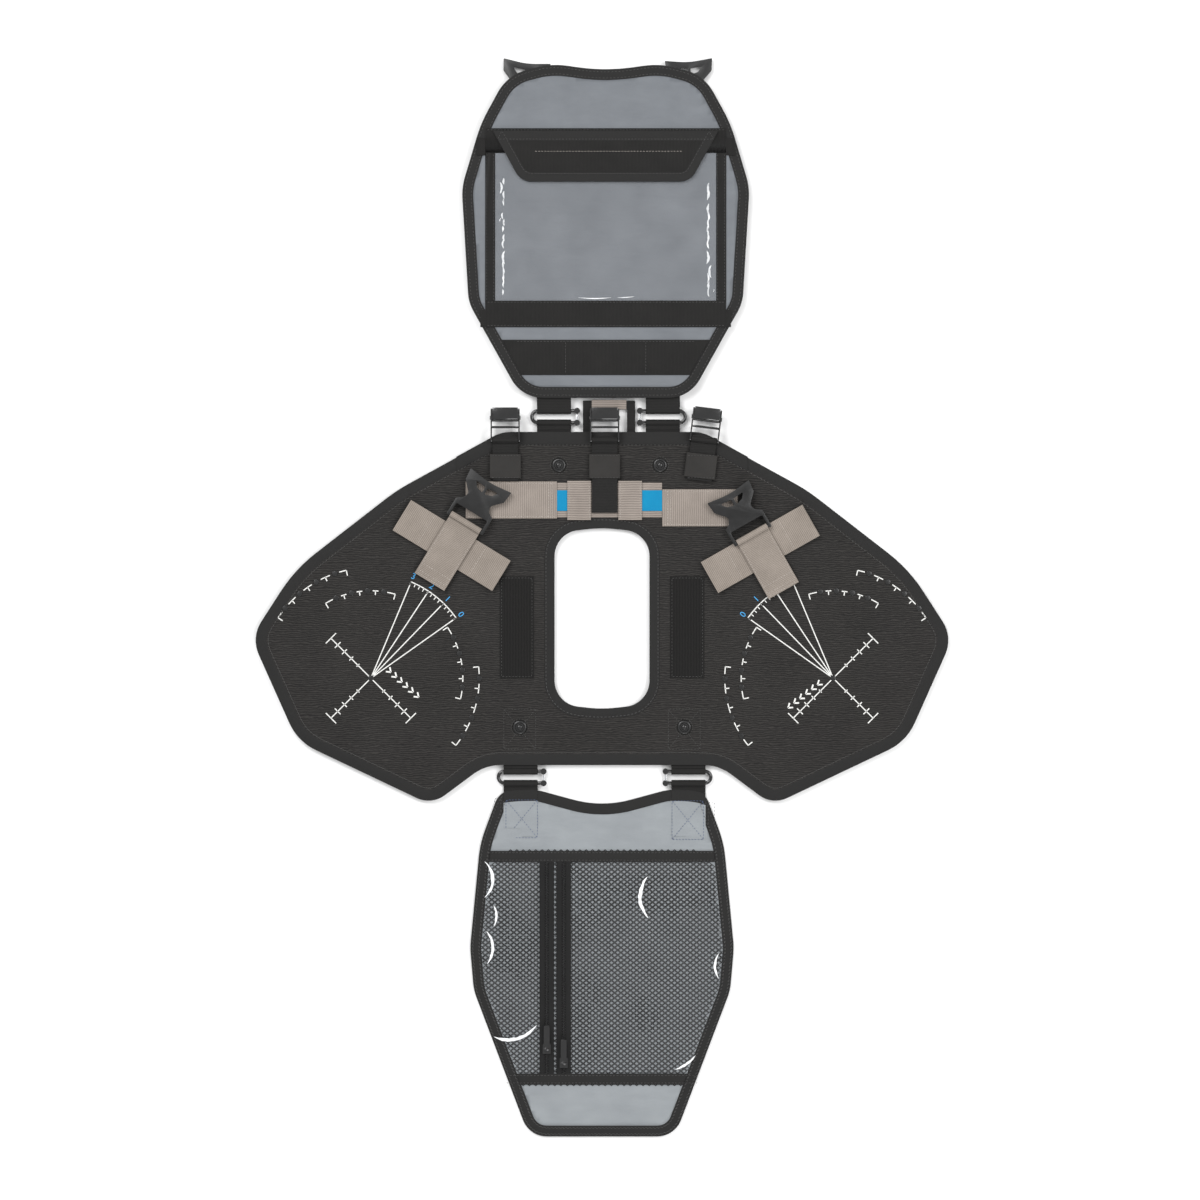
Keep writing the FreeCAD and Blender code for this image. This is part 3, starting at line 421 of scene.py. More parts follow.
@dataclass(frozen=True)
class Metal(Finish):
    """Metal, bare or painted: polished, with fine brushing and small scuffs."""

    metallic: float = 1.0
    roughness: Point = (0.12, 0.3)
    coat: float = 0.0

    def paint(self, kit: Kit) -> None:
        """Paints brushing along X and scuffs in tone and gloss.

        Args:
            kit: The material's node tree.
        """
        brushed = kit.grain(1.2, 3.0, (0.08, 1.6, 1.6))
        scuffs = kit.grain(6.0, 5.0)
        tone = kit.blend(brushed, 0.4, scuffs, 0.6)
        kit.dress(kit.tint(tone, self.dark, self.light), kit.between(scuffs, *self.roughness), brushed, 0.02,
                  Metallic=self.metallic, Coat_Weight=self.coat, Coat_Roughness=0.06)


@dataclass(frozen=True)
class Plastic(Finish):
    """Moulded plastic with a fine satin grain, polished a little where it is handled."""

    roughness: Point = (0.32, 0.52)
    relief: float = 0.05

    def paint(self, kit: Kit) -> None:
        """Paints a satin grain with polished patches.

        Args:
            kit: The material's node tree.
        """
        spark = kit.grain(0.5, 3.0)
        worn = kit.grain(9.0, 3.0)
        kit.dress(kit.tint(worn, self.dark, self.light), kit.between(worn, *self.roughness), spark, self.relief,
                  Specular_IOR_Level=0.5)


@dataclass(frozen=True)
class Ink(Finish):
    """Screen print on the cloth: even, but broken a little by the ripples under it."""

    def paint(self, kit: Kit) -> None:
        """Paints ink that thins out along the ripples.

        Args:
            kit: The material's node tree.
        """
        thin = kit.grain(1.4, 3.0, (0.6, 1.4, 1))
        kit.dress(kit.tint(kit.between(thin, -0.1, 1.3), self.dark, self.light), kit.between(thin, 0.7, 0.5),
                  thin, 0.06)


@dataclass(frozen=True)
class Thread(Finish):
    """Twisted sewing thread."""

    def paint(self, kit: Kit) -> None:
        """Paints a tight twist along the thread.

        Args:
            kit: The material's node tree.
        """
        twist = kit.ribs(kit.math("ADD", kit.x, kit.y), 0.35)
        kit.dress(kit.tint(twist, self.dark, self.light), kit.between(twist, 0.45, 0.65), twist, 0.05,
                  Sheen_Weight=0.2)


@dataclass(frozen=True)
class Page(Finish):
    """The plain pale floor."""

    def paint(self, kit: Kit) -> None:
        """Paints a nearly even matt white.

        Args:
            kit: The material's node tree.
        """
        soft = kit.grain(900.0, 1.0)
        kit.dress(kit.tint(soft, self.dark, self.light), kit.between(soft, 0.85, 0.9), soft, 0.0)


# The finishes.
# The light colour is a painted highlight on the ripple crests.
BASE_CLOTH = RippleCloth("base_cloth_finish", shade(12, 11, 11), shade(53, 51, 49))
BLACK_TAPE = Tape("edge_tape_finish", shade(13, 13, 13), shade(38, 37, 36))
LOOP_PILE = LoopPile("loop_pile_finish", shade(5, 5, 5), shade(30, 29, 28))
BOARD = Plastic("board_finish", shade(22, 22, 22), shade(40, 40, 40))
BLACK_WEB = Webbing("black_webbing_finish", shade(8, 8, 8), shade(34, 33, 32), 90.0)
GREY_WEB = Webbing("grey_belt_finish", shade(84, 77, 71), shade(160, 150, 142), 0.0, 2.1)
GREY_SLEEVE = Webbing("grey_sleeve_finish", shade(82, 75, 70), shade(162, 152, 144), 90.0, 2.6, 0.35, False)
GREY_LEFT = Webbing("left_leg_webbing_finish", shade(86, 79, 72), shade(158, 148, 139), 58.6, 1.7)
GREY_RIGHT = Webbing("right_leg_webbing_finish", shade(86, 79, 72), shade(158, 148, 139), 119.5, 1.7)
GREY_CROSS_LEFT = Webbing("left_cross_webbing_finish", shade(84, 77, 70), shade(158, 148, 139), -31.4, 1.9)
GREY_CROSS_RIGHT = Webbing("right_cross_webbing_finish", shade(84, 77, 70), shade(158, 148, 139), 29.5, 1.9)
KEEPER_WEB = Webbing("keeper_finish", shade(18, 18, 18), shade(56, 54, 52), 90.0, 0.9, 0.2, False)
RIBBED_BAND = Webbing("ribbed_band_finish", shade(7, 7, 7), shade(36, 35, 34), 0.0, 1.5, 0.35, False)
ZIP_TAPE = Webbing("zip_tape_finish", shade(7, 7, 7), shade(30, 30, 30), 90.0, 1.0, 0.2, False)
BLUE_WEB = Webbing("blue_stretch_finish", shade(0, 92, 140), shade(2, 138, 176), 90.0, 1.2, 0.15)
UPPER_CLOTH = CoatedCloth("upper_cloth_finish", shade(78, 82, 87), shade(115, 119, 124))
LOWER_CLOTH = CoatedCloth("lower_cloth_finish", shade(109, 113, 117), shade(144, 149, 152))
FILM = ClearFilm("clear_film_finish", shade(104, 108, 114), shade(150, 154, 160), 0.2)
# Painted glints: a near-white, nearly opaque film finish that stands in for reflections on clear vinyl.
PAINTED_GLINT_FILM = ClearFilm("creased_film_finish", shade(214, 218, 222), shade(250, 250, 250), 0.92)
POCKET_FILM = ClearFilm("pocket_film_finish", shade(90, 92, 96), shade(150, 154, 158), 0.06)
NET = Plastic("pocket_net_finish", shade(6, 6, 6), shade(20, 20, 20), (0.7, 0.9))
BLACK_METAL = Metal("black_metal_finish", shade(10, 10, 10), shade(30, 30, 31), 0.6, (0.12, 0.26), 1.0)
STEEL = Metal("gate_steel_finish", shade(170, 172, 176), shade(226, 228, 230), 1.0, (0.12, 0.3))
SATIN_BLACK = Plastic("stud_black_finish", shade(12, 12, 12), shade(28, 28, 28), (0.18, 0.34))
HOOK_PLASTIC = Plastic("hook_plastic_finish", shade(3, 3, 3), shade(10, 10, 11), (0.28, 0.44))
ZIP_NYLON = Plastic("zip_nylon_finish", shade(10, 10, 10), shade(26, 26, 27), (0.25, 0.4))
WHITE_INK = Ink("white_print_finish", shade(150, 150, 148), shade(236, 236, 232))
BLUE_INK = Ink("blue_print_finish", shade(20, 100, 160), shade(60, 160, 215))
BLACK_THREAD = Thread("black_thread_finish", shade(10, 10, 10), shade(62, 61, 60))
BLUE_THREAD = Thread("blue_thread_finish", shade(38, 52, 84), shade(74, 92, 130))
GREY_THREAD = Thread("grey_thread_finish", shade(120, 112, 106), shade(198, 190, 182))
PAGE = Page("page_finish", (0.8, 0.8, 0.8), (0.83, 0.83, 0.83))


def settle(bm: BMesh, name: str, finish: Finish, body: str, slot: str, *nodes: str,
           crease: float = 38.0) -> bpy.types.Object:
    """Makes a piece from a bmesh and puts it on its body.

    Args:
        bm: The shape, in place. It is freed.
        name: The piece's name.
        finish: Its finish.
        body: The CAD body that it rides on.
        slot: The record's material slot that its finish stands for. Not used.
        nodes: The CAD nodes that it stands for.
        crease: Edges sharper than this many degrees stay sharp.

    Returns:
        The piece.
    """
    for face in bm.faces:
        face.smooth = True
    mesh = bpy.data.meshes.new(name)
    bm.to_mesh(mesh)
    bm.free()
    mesh.set_sharp_from_angle(angle=math.radians(crease))
    mesh.materials.append(finish.material())
    piece = bpy.data.objects.new(name, mesh)
    bpy.context.scene.collection.objects.link(piece)
    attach(piece, body)
    if nodes:
        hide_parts(*nodes)
    return piece


def copied(node: str, bevel: float = 0.0, segments: int = 2, angle: float = 30.0) -> BMesh:
    """A copy of a CAD node's mesh, merged, cleared of flat cuts and rounded along its edges.

    Args:
        node: The node.
        bevel: How far the rounding reaches, in millimetres.
        segments: The steps in it.
        angle: Edges sharper than this many degrees are rounded.

    Returns:
        The shape.
    """
    bm = bmesh.new()
    bm.from_mesh(frame["nodes"][node].data)
    bmesh.ops.remove_doubles(bm, verts=bm.verts, dist=2e-6)
    bmesh.ops.dissolve_limit(bm, angle_limit=math.radians(1.0), verts=bm.verts, edges=bm.edges,
                             delimit={"NORMAL"})
    if bevel:
        sharp = [edge for edge in bm.edges
                 if len(edge.link_faces) == 2 and edge.calc_face_angle(0.0) > math.radians(angle)]
        bmesh.ops.bevel(bm, geom=sharp, offset=bevel * MM, offset_type="OFFSET", affect="EDGES",
                        segments=segments, profile=0.5, material=-1, clamp_overlap=True)
    return bm


def dice(bm: BMesh, pitch: float) -> None:
    """Cuts a shape by planes across X and Y, so that it can bend.

    Args:
        bm: The shape.
        pitch: The space between planes, in millimetres.
    """
    for axis in (0, 1):
        places = [vert.co[axis] for vert in bm.verts]
        normal = Vector((axis == 0, axis == 1, 0))
        step = math.ceil(min(places) / (pitch * MM) + 0.3)
        while step * pitch * MM < max(places) - 0.3 * pitch * MM:
            bmesh.ops.bisect_plane(bm, geom=[*bm.verts, *bm.edges, *bm.faces], dist=1e-6,
                                   plane_co=normal * step * pitch * MM, plane_no=normal)
            step += 1


def wave(bm: BMesh, rise: Callable[[float, float], float]) -> None:
    """Lifts every point of a shape.

    Args:
        bm: The shape.
        rise: The lift at a place, all in millimetres.
    """
    for vert in bm.verts:
        vert.co.z += rise(vert.co.x / MM, vert.co.y / MM) * MM


def fade(past: float, over: float) -> float:
    """How far a place is across an edge of a given width, from 0 to 1."""
    return max(0.0, min(1.0, past / over))


def puff(x: float, y: float, across: float, seed: float = 0.0) -> float:
    """A smooth random value from -1 to 1 at a place, with hollows of a given width in millimetres."""
    return noise.noise(Vector((x / across, y / across, seed)))


def rims(node: str, top: bool = True) -> list[list[Point]]:
    """The closed edges of a node's top or bottom face, longest first.

    Args:
        node: The CAD node.
        top: The face up if true, and the face down otherwise.

    Returns:
        Each edge's points in order, in millimetres.
    """
    bm = copied(node)
    level = max(v.co.z for v in bm.verts) if top else min(v.co.z for v in bm.verts)
    flat = {face for face in bm.faces if all(abs(v.co.z - level) < 2e-5 for v in face.verts)}
    ahead: dict[int, list[int]] = {}
    places = {vert.index: (vert.co.x / MM, vert.co.y / MM) for vert in bm.verts}
    for edge in bm.edges:
        if len(flat.intersection(edge.link_faces)) == 1:
            first, last = (vert.index for vert in edge.verts)
            ahead.setdefault(first, []).append(last)
            ahead.setdefault(last, []).append(first)
    bm.free()
    loops = []
    while ahead:
        start = next(iter(ahead))
        loop = [start]
        here = start
        while here in ahead and ahead[here]:
            following = ahead[here].pop()
            ahead[following].remove(here)
            if not ahead[here]:
                del ahead[here]
            here = following
            if here == start:
                break
            loop.append(here)
        ahead = {key: ends for key, ends in ahead.items() if ends}
        loops.append([places[i] for i in loop])
    return sorted(loops, key=lambda loop: -length_of(loop))


def length_of(loop: Sequence[Point]) -> float:
    """The length round a closed loop of points."""
    return sum(math.dist(loop[i - 1], loop[i]) for i in range(len(loop)))


def evenly(points: Sequence[Point], pitch: float, closed: bool = True) -> list[Point]:
    """Points at even spaces along a line.

    Args:
        points: The line's own points.
        pitch: The space, made a little more or less to fit.
        closed: Whether the line comes back to its start.

    Returns:
        The new points.
    """
    line = [*points, points[0]] if closed else list(points)
    total = sum(math.dist(a, b) for a, b in zip(line, line[1:]))
    count = max(2, round(total / pitch))
    step = total / count
    made, walked, target = [], 0.0, 0.0
    for a, b in zip(line, line[1:]):
        run = math.dist(a, b)
        while run > 0 and target <= walked + run + 1e-9 and len(made) < count + (not closed):
            t = (target - walked) / run
            made.append((a[0] + (b[0] - a[0]) * t, a[1] + (b[1] - a[1]) * t))
            target += step
        walked += run
    return made


def inset(loop: Sequence[Point], distance: float) -> list[Point]:
    """A closed loop moved inwards, or outwards where the distance is negative.

    Args:
        loop: Evenly spaced points.
        distance: How far.

    Returns:
        The moved points.
    """
    count = len(loop)
    area = sum(loop[i - 1][0] * loop[i][1] - loop[i][0] * loop[i - 1][1] for i in range(count))
    way = math.copysign(distance, area)
    moved = []
    for i, (x, y) in enumerate(loop):
        dx = loop[(i + 1) % count][0] - loop[i - 1][0]
        dy = loop[(i + 1) % count][1] - loop[i - 1][1]
        run = math.hypot(dx, dy) or 1.0
        moved.append((x - dy / run * way, y + dx / run * way))
    return moved


def stitched(name: str, lines: Iterable[tuple[Sequence[Point], bool]], z: float, finish: Finish, body: str,
             slot: str, pitch: float = 4.2, gauge: float = 0.55) -> bpy.types.Object:
    """Rows of sewn stitches.

    Args:
        name: The piece's name.
        lines: Each row's points in millimetres, and whether it closes on itself.
        z: The height of the cloth that they are sewn through.
        finish: The thread.
        body: The body that they ride on.
        slot: The record's slot.
        pitch: One stitch and its gap.
        gauge: The thread's thickness.

    Returns:
        The piece.
    """
    bm = bmesh.new()
    for line, closed in lines:
        places = evenly(line, pitch, closed)
        ends = [*places[1:], places[0]] if closed else places[1:]
        for a, b in zip(places, ends):
            turn = math.atan2(b[1] - a[1], b[0] - a[0])
            middle = Vector(((a[0] + b[0]) / 2, (a[1] + b[1]) / 2, z + gauge * 0.15)) * MM
            scale = Matrix.Diagonal((pitch * 0.37 * MM, gauge * 0.62 * MM, gauge * 0.5 * MM, 1.0))
            bmesh.ops.create_icosphere(bm, subdivisions=1, radius=1.0,
                                       matrix=Matrix.Translation(middle) @ Matrix.Rotation(turn, 4, "Z") @ scale)
    return settle(bm, name, finish, body, slot, crease=80.0)


def crossed_box(x0: float, x1: float, y0: float, y1: float) -> list[tuple[list[Point], bool]]:
    """The rows of a box with a cross in it.

    Args:
        x0: Its left side.
        x1: Its right side.
        y0: Its lower side.
        y1: Its upper side.

    Returns:
        Each row's points, and whether it closes on itself.
    """
    corners = [(x0, y0), (x1, y0), (x1, y1), (x0, y1)]
    return [(corners, True), ([corners[0], corners[2]], False), ([corners[1], corners[3]], False)]


def stroke(bm: BMesh, a: Point, b: Point, z: float, width: float, thick: float = 0.06) -> None:
    """Adds a straight flat stroke of print or tape.

    Args:
        bm: The shape that it joins.
        a: Its start.
        b: Its end.
        z: Its underside.
        width: Its width.
        thick: Its thickness.
    """
    run = math.dist(a, b)
    middle = Vector(((a[0] + b[0]) / 2, (a[1] + b[1]) / 2, z + thick / 2)) * MM
    turn = Matrix.Rotation(math.atan2(b[1] - a[1], b[0] - a[0]), 4, "Z")
    scale = Matrix.Diagonal((run * MM, width * MM, thick * MM, 1.0))
    bmesh.ops.create_cube(bm, size=1.0, matrix=Matrix.Translation(middle) @ turn @ scale)


def polar(middle: Point, radius: float, degrees: float) -> Point:
    """A place at a radius and angle from a middle."""
    angle = math.radians(degrees)
    return middle[0] + radius * math.cos(angle), middle[1] + radius * math.sin(angle)


def arc(bm: BMesh, middle: Point, radius: float, start: float, end: float, z: float, width: float) -> None:
    """Adds a curved stroke, as short straight ones that overlap.

    Args:
        bm: The shape that it joins.
        middle: The middle of its circle.
        radius: Its radius.
        start: The angle that it starts at, in degrees.
        end: The angle that it ends at.
        z: Its underside.
        width: Its width.
    """
    steps = max(1, round(abs(end - start) / 2.0))
    for step in range(steps):
        first, last = (start + (end - start) * (step + i) / steps for i in (0, 1))
        stroke(bm, polar(middle, radius, first), polar(middle, radius, last), z, width)


def span(node: str) -> tuple[Vector, Vector]:
    """A node's lowest and highest corner, in millimetres."""
    low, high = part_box(node)
    return low / MM, high / MM


def cloth_area(node: str) -> float:
    """The area of a node's faces that look up, in square metres.

    Args:
        node: The node.

    Returns:
        The area.
    """
    bm = copied(node)
    area = sum(face.calc_area() for face in bm.faces if face.normal.z > 0.5)
    bm.free()
    return area


def rounded_copy(name: str, node: str, finish: Finish, body: str, slot: str, bevel: float,
                 segments: int = 3) -> bpy.types.Object:
    """A hard or strap-like CAD node with its edges rounded, as a piece that stands for it.

    Args:
        name: The piece's name.
        node: The CAD node.
        finish: Its finish.
        body: The body that it rides on.
        slot: The record's slot.
        bevel: How far the rounding reaches.
        segments: The steps in it.

    Returns:
        The piece.
    """
    return settle(copied(node, bevel, segments), name, finish, body, slot, node)


@dataclass
class Cloth:
    """A flat cloth layer: a diced copy of its CAD node, moved by its own wrinkles."""

    name: str
    node: str
    finish: Finish
    body: str
    slot: str
    pitch: float = 12.0
    held: str = "stretched"
    rests_on: tuple[str, ...] = ()
    rise: Callable[[float, float], float] | None = None

    def build(self) -> bpy.types.Object:
        """Cuts, wrinkles and dresses the layer.

        Returns:
            The piece.
        """
        bm = copied(self.node)
        dice(bm, self.pitch)
        if self.rise:
            wave(bm, self.rise)
        piece = settle(bm, self.name, self.finish, self.body, self.slot, self.node)
        low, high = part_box(self.node)
        size = high - low
        area = min(cloth_area(self.node), size.x * size.y)
        return piece


@dataclass
class BasePanel:
    """The stiff butterfly base: cloths, board, bindings, wrap, studs, loop strips and rivets."""

    edge_round: float = 2.2
    strip_width: float = 37.4
    stud_ring: float = 9.6
    stud_profile: tuple[Point, ...] = (
        (0.0, 3.4), (1.8, 3.3), (2.8, 2.7), (3.1, 1.3), (4.6, 1.2), (5.2, 2.2), (6.6, 2.4), (7.6, 1.6), (7.9, 0.0))

    def build(self) -> None:
        """Builds every layer and fitting of the base."""
        face = span("base_front_fabric")[1].z
        for name, node in (("base_back_cloth", "base_back_fabric"), ("base_front_cloth", "base_front_fabric")):
            Cloth(name, node, BASE_CLOTH, "base", "base_cloth", 40.0, rests_on=("base_stiffener",)).build()
        frame["nodes"]["base_stiffener"].data.materials.clear()
        frame["nodes"]["base_stiffener"].data.materials.append(BOARD.material())
        rounded_copy("base_edge_tape", "base_edge_binding", BLACK_TAPE, "base", "binding_tape", self.edge_round)
        rounded_copy("opening_edge_tape", "opening_binding", BLACK_TAPE, "base", "binding_tape", self.edge_round)
        rounded_copy("top_wrap_tape", "top_edge_wrap", BLACK_TAPE, "base", "binding_tape", 0.35, 2)
        outer = evenly(rims("base_front_fabric")[0], 6.0)
        loops = [(inset(outer, -1.6), True), (inset(outer, 1.4), True)]
        openings = sorted(rims("opening_binding"), key=lambda loop: -length_of(loop))
        ring = evenly(openings[0], 6.0)
        loops += [(inset(ring, 1.6), True), (inset(ring, -1.8), True)]
        stitched("base_edge_stitches", loops, face, BLACK_THREAD, "base", "binding_tape")
        self.build_studs(face)
        self.build_strips(face)
        rounded_copy("scale_rivets", "adjuster_rivets", SATIN_BLACK, "base", "rivet_plastic", 0.3)

    def build_studs(self, face: float) -> None:
        """Turns the studs, sews the boxes round the lower two and rings round each.

        Args:
            face: The height of the base's front.
        """
        bm = bmesh.new()
        rows = []
        for x, y in self.stud_places():
            self.turn_stud(bm, x, y, face)
            rows.append(([polar((x, y), self.stud_ring, step * 30.0) for step in range(12)], True))
            if y < 0:
                rows += crossed_box(x - 17.5, x + 17.5, y - 24.0, y + 20.0)
        settle(bm, "domed_studs", SATIN_BLACK, "base", "stud_metal", "press_studs", crease=50.0)
        stitched("stud_stitches", rows, face, BLACK_THREAD, "base", "base_cloth", 3.4, 0.5)

    def stud_places(self) -> list[Point]:
        """The middle of each stud, from the CAD studs' own corners.

        Returns:
            The middles, in millimetres.
        """
        bm = copied("press_studs")
        places: list[Point] = []
        for vert in bm.verts:
            here = (vert.co.x / MM, vert.co.y / MM)
            if not any(math.dist(here, seen) < 20 for seen in places):
                near = [(v.co.x / MM, v.co.y / MM) for v in bm.verts
                        if math.dist(here, (v.co.x / MM, v.co.y / MM)) < 20]
                places.append(((min(p[0] for p in near) + max(p[0] for p in near)) / 2,
                               (min(p[1] for p in near) + max(p[1] for p in near)) / 2))
        bm.free()
        return places

    def turn_stud(self, bm: BMesh, x: float, y: float, face: float) -> None:
        """Spins a stud's profile into a ring with a domed post.

        Args:
            bm: The shape that it joins.
            x: The stud's middle.
            y: The stud's middle.
            face: The height that it stands on.
        """
        verts = [bm.verts.new(Vector((x + out, y, face + up)) * MM) for out, up in self.stud_profile]
        edges = [bm.edges.new(pair) for pair in zip(verts, verts[1:])]
        bmesh.ops.spin(bm, geom=[*verts, *edges], cent=Vector((x, y, 0)) * MM, axis=(0, 0, 1), steps=24,
                       angle=2 * math.pi, use_merge=True)
        bmesh.ops.remove_doubles(bm, verts=bm.verts, dist=1e-6)
        bmesh.ops.recalc_face_normals(bm, faces=bm.faces)

    def build_strips(self, face: float) -> None:
        """Lays the two loop strips and sews round them.

        Args:
            face: The height of the base's front.
        """
        rounded_copy("loop_pile_strips", "loop_strips", LOOP_PILE, "base", "loop_tape", 0.3, 2)
        low, high = span("loop_strips")
        rows = [([(x + 2, low.y + 2), (x + self.strip_width - 2, low.y + 2), (x + self.strip_width - 2, high.y - 2),
                  (x + 2, high.y - 2)], True) for x in (low.x, high.x - self.strip_width)]
        stitched("loop_strip_stitches", rows, high.z, BLACK_THREAD, "base", "loop_tape", 3.6, 0.5)


@dataclass
class PrintedScales:
    """The white scales on both wings: a fan, a cross and four ticked arcs, with digits at the fan."""

    line: float = 1.15
    fan_radius: float = 114.6
    fan_angles: tuple[float, ...] = (35.3, 45.9, 56.5, 67.3)
    arm: float = 62.0
    arcs: tuple[tuple[float, float, float], ...] = (
        (121.5, 140.8, 109.0), (96.0, 113.4, 81.6), (101.0, 26.2, -5.6), (119.0, -0.2, -32.0))

    def build(self) -> None:
        """Prints both wings."""
        z = span("base_front_fabric")[1].z
        white, blue = bmesh.new(), bmesh.new()
        for side in Side:
            pivot = (side.value * LEG_PIVOT[0], LEG_PIVOT[1])
            self.print_fan(white, blue, pivot, side, z)
            self.print_cross(white, pivot, side, z)
            for radius, first, last in self.arcs:
                self.print_arc(white, pivot, side, z, radius, first, last)
            self.print_chevrons(white, pivot, side, z)
        settle(white, "white_scale_print", WHITE_INK, "base", "base_cloth")
        settle(blue, "blue_scale_print", BLUE_INK, "base", "base_cloth")

    def angle(self, side: Side, degrees: float) -> float:
        """An angle on the left wing, mirrored on the right."""
        return degrees if side is Side.LEFT else 180.0 - degrees

    def print_fan(self, white: BMesh, blue: BMesh, pivot: Point, side: Side, z: float) -> None:
        """Prints the fan's lines, its arc with short ticks and the digits outside it.

        Args:
            white: The white print.
            blue: The blue print.
            pivot: The leg strap's pivot.
            side: The wing.
            z: The cloth's height.
        """
        for angle in self.fan_angles:
            stroke(white, pivot, polar(pivot, self.fan_radius, self.angle(side, angle)), z, self.line)
        first, last = self.fan_angles[0], self.fan_angles[-1]
        arc(white, pivot, self.fan_radius, self.angle(side, first), self.angle(side, last), z, self.line)
        step = (last - first) / 12
        for tick in range(13):
            angle = self.angle(side, first + tick * step)
            stroke(white, polar(pivot, self.fan_radius - 4.0, angle), polar(pivot, self.fan_radius, angle), z,
                   self.line * 0.8)
        for number, angle in enumerate(self.fan_angles):
            self.print_digit(blue, str(number), polar(pivot, self.fan_radius + 6.5, self.angle(side, angle)),
                             self.angle(side, angle) - 90.0, z)

    def print_digit(self, bm: BMesh, digit: str, place: Point, turn: float, z: float) -> None:
        """Prints one number on the scale.

        Args:
            bm: The print that it joins.
            digit: The number.
            place: Its middle.
            turn: The way up, from +Y, in degrees.
            z: The cloth's height.
        """
        text = bpy.data.curves.new("scale_digit", "FONT")
        text.body = digit
        text.size = 9.5 * MM
        text.align_x = text.align_y = "CENTER"
        text.extrude = 0.04 * MM
        holder = bpy.data.objects.new("scale_digit", text)
        mesh = bpy.data.meshes.new_from_object(holder)
        mesh.transform(Matrix.Translation(Vector((*place, z + 0.05)) * MM) @
                       Matrix.Rotation(math.radians(turn), 4, "Z"))
        bm.from_mesh(mesh)
        bpy.data.objects.remove(holder)
        bpy.data.meshes.remove(mesh)

    def print_cross(self, bm: BMesh, pivot: Point, side: Side, z: float) -> None:
        """Prints the cross's three arms with their ticks and end bars.

        Args:
            bm: The print that it joins.
            pivot: The leg strap's pivot.
            side: The wing.
            z: The cloth's height.
        """
        for heading in (135.0, 225.0, 315.0):
            angle = self.angle(side, heading)
            stroke(bm, pivot, polar(pivot, self.arm, angle), z, self.line)
            for step in range(5):
                reach = 20.0 + step * 10.5
                half = 8.0 if step == 4 else 2.2 + step * 0.75
                middle = polar(pivot, reach, angle)
                stroke(bm, polar(middle, half, angle + 90), polar(middle, half, angle - 90), z, self.line)

    def print_arc(self, bm: BMesh, pivot: Point, side: Side, z: float, radius: float, first: float,
                  last: float) -> None:
        """Prints the dashes between an arc's rivets, a tick in each and a hook past each end.

        Args:
            bm: The print that it joins.
            pivot: The leg strap's pivot.
            side: The wing.
            z: The cloth's height.
            radius: The arc's radius.
            first: The angle of its first rivet on the left wing.
            last: The angle of its last.
        """
        step = (first - last) / 3
        past = 6.5 * 115 / radius
        for place in range(3):
            start = last + place * step
            gap = 3.0 * 110 / radius
            arc(bm, pivot, radius, self.angle(side, start + gap), self.angle(side, start + step - gap), z, self.line)
            tick = self.angle(side, start + step / 2)
            stroke(bm, polar(pivot, radius - 4.5, tick), polar(pivot, radius, tick), z, self.line)
        for end, way in ((first, 1), (last, -1)):
            arc(bm, pivot, radius, self.angle(side, end + way * 2.4), self.angle(side, end + way * past), z,
                self.line)
            hook = self.angle(side, end + way * past)
            stroke(bm, polar(pivot, radius - 6.0, hook), polar(pivot, radius, hook), z, self.line)

    def print_chevrons(self, bm: BMesh, pivot: Point, side: Side, z: float) -> None:
        """Prints a plain row of chevrons beside the lower arm.

        Args:
            bm: The print that it joins.
            pivot: The leg strap's pivot.
            side: The wing.
            z: The cloth's height.
        """
        start = (-234.0, -80.0) if side is Side.LEFT else (239.0, -94.0)
        heading = -42.0 if side is Side.LEFT else 218.0
        for step in range(6):
            tip = polar(start, 3.0 + step * 8.2, heading)
            for way in (145.0, -145.0):
                stroke(bm, tip, polar(tip, 5.6, heading + way), z, 1.7)


@dataclass
class WaistBelt:
    """The belt across the base: grey ends, ribbed sleeves and the blue stretch bands under them."""

    def build(self) -> None:
        """Lays the webbing and sews its ends."""
        rounded_copy("belt_webbing_ends", "belt_ends", GREY_WEB, "base", "grey_webbing", 0.45)
        rounded_copy("ribbed_belt_sleeves", "belt_sleeves", GREY_SLEEVE, "base", "grey_webbing", 0.35)
        rounded_copy("blue_stretch_bands", "belt_blue_bands", BLUE_WEB, "base", "blue_webbing", 0.25)
        low, high = span("belt_ends")
        rows = [([(x, low.y + 9.6), (x, high.y - 1.5)], False) for x in (-58.5, -55.0)]
        rows += [([(x, low.y + 1.5), (x, high.y - 10.0)], False) for x in (72.0, 75.5)]
        rows += [([(low.x + 2, y), (-51.5, y)], False) for y in (high.y - 2.0, low.y + 10.6)]
        rows += [([(68.0, y), (high.x - 2, y)], False) for y in (high.y - 10.6, low.y + 2.0)]
        stitched("belt_end_stitches", rows, high.z, GREY_THREAD, "base", "grey_webbing", 3.2, 0.5)
        low, high = span("belt_sleeves")
        rows = [([(x, low.y + 2), (x, high.y - 2)], False) for x in (-36.2, -14.0, 20.0, 42.0)]
        stitched("belt_sleeve_stitches", rows, high.z, GREY_THREAD, "base", "grey_webbing", 3.2, 0.5)


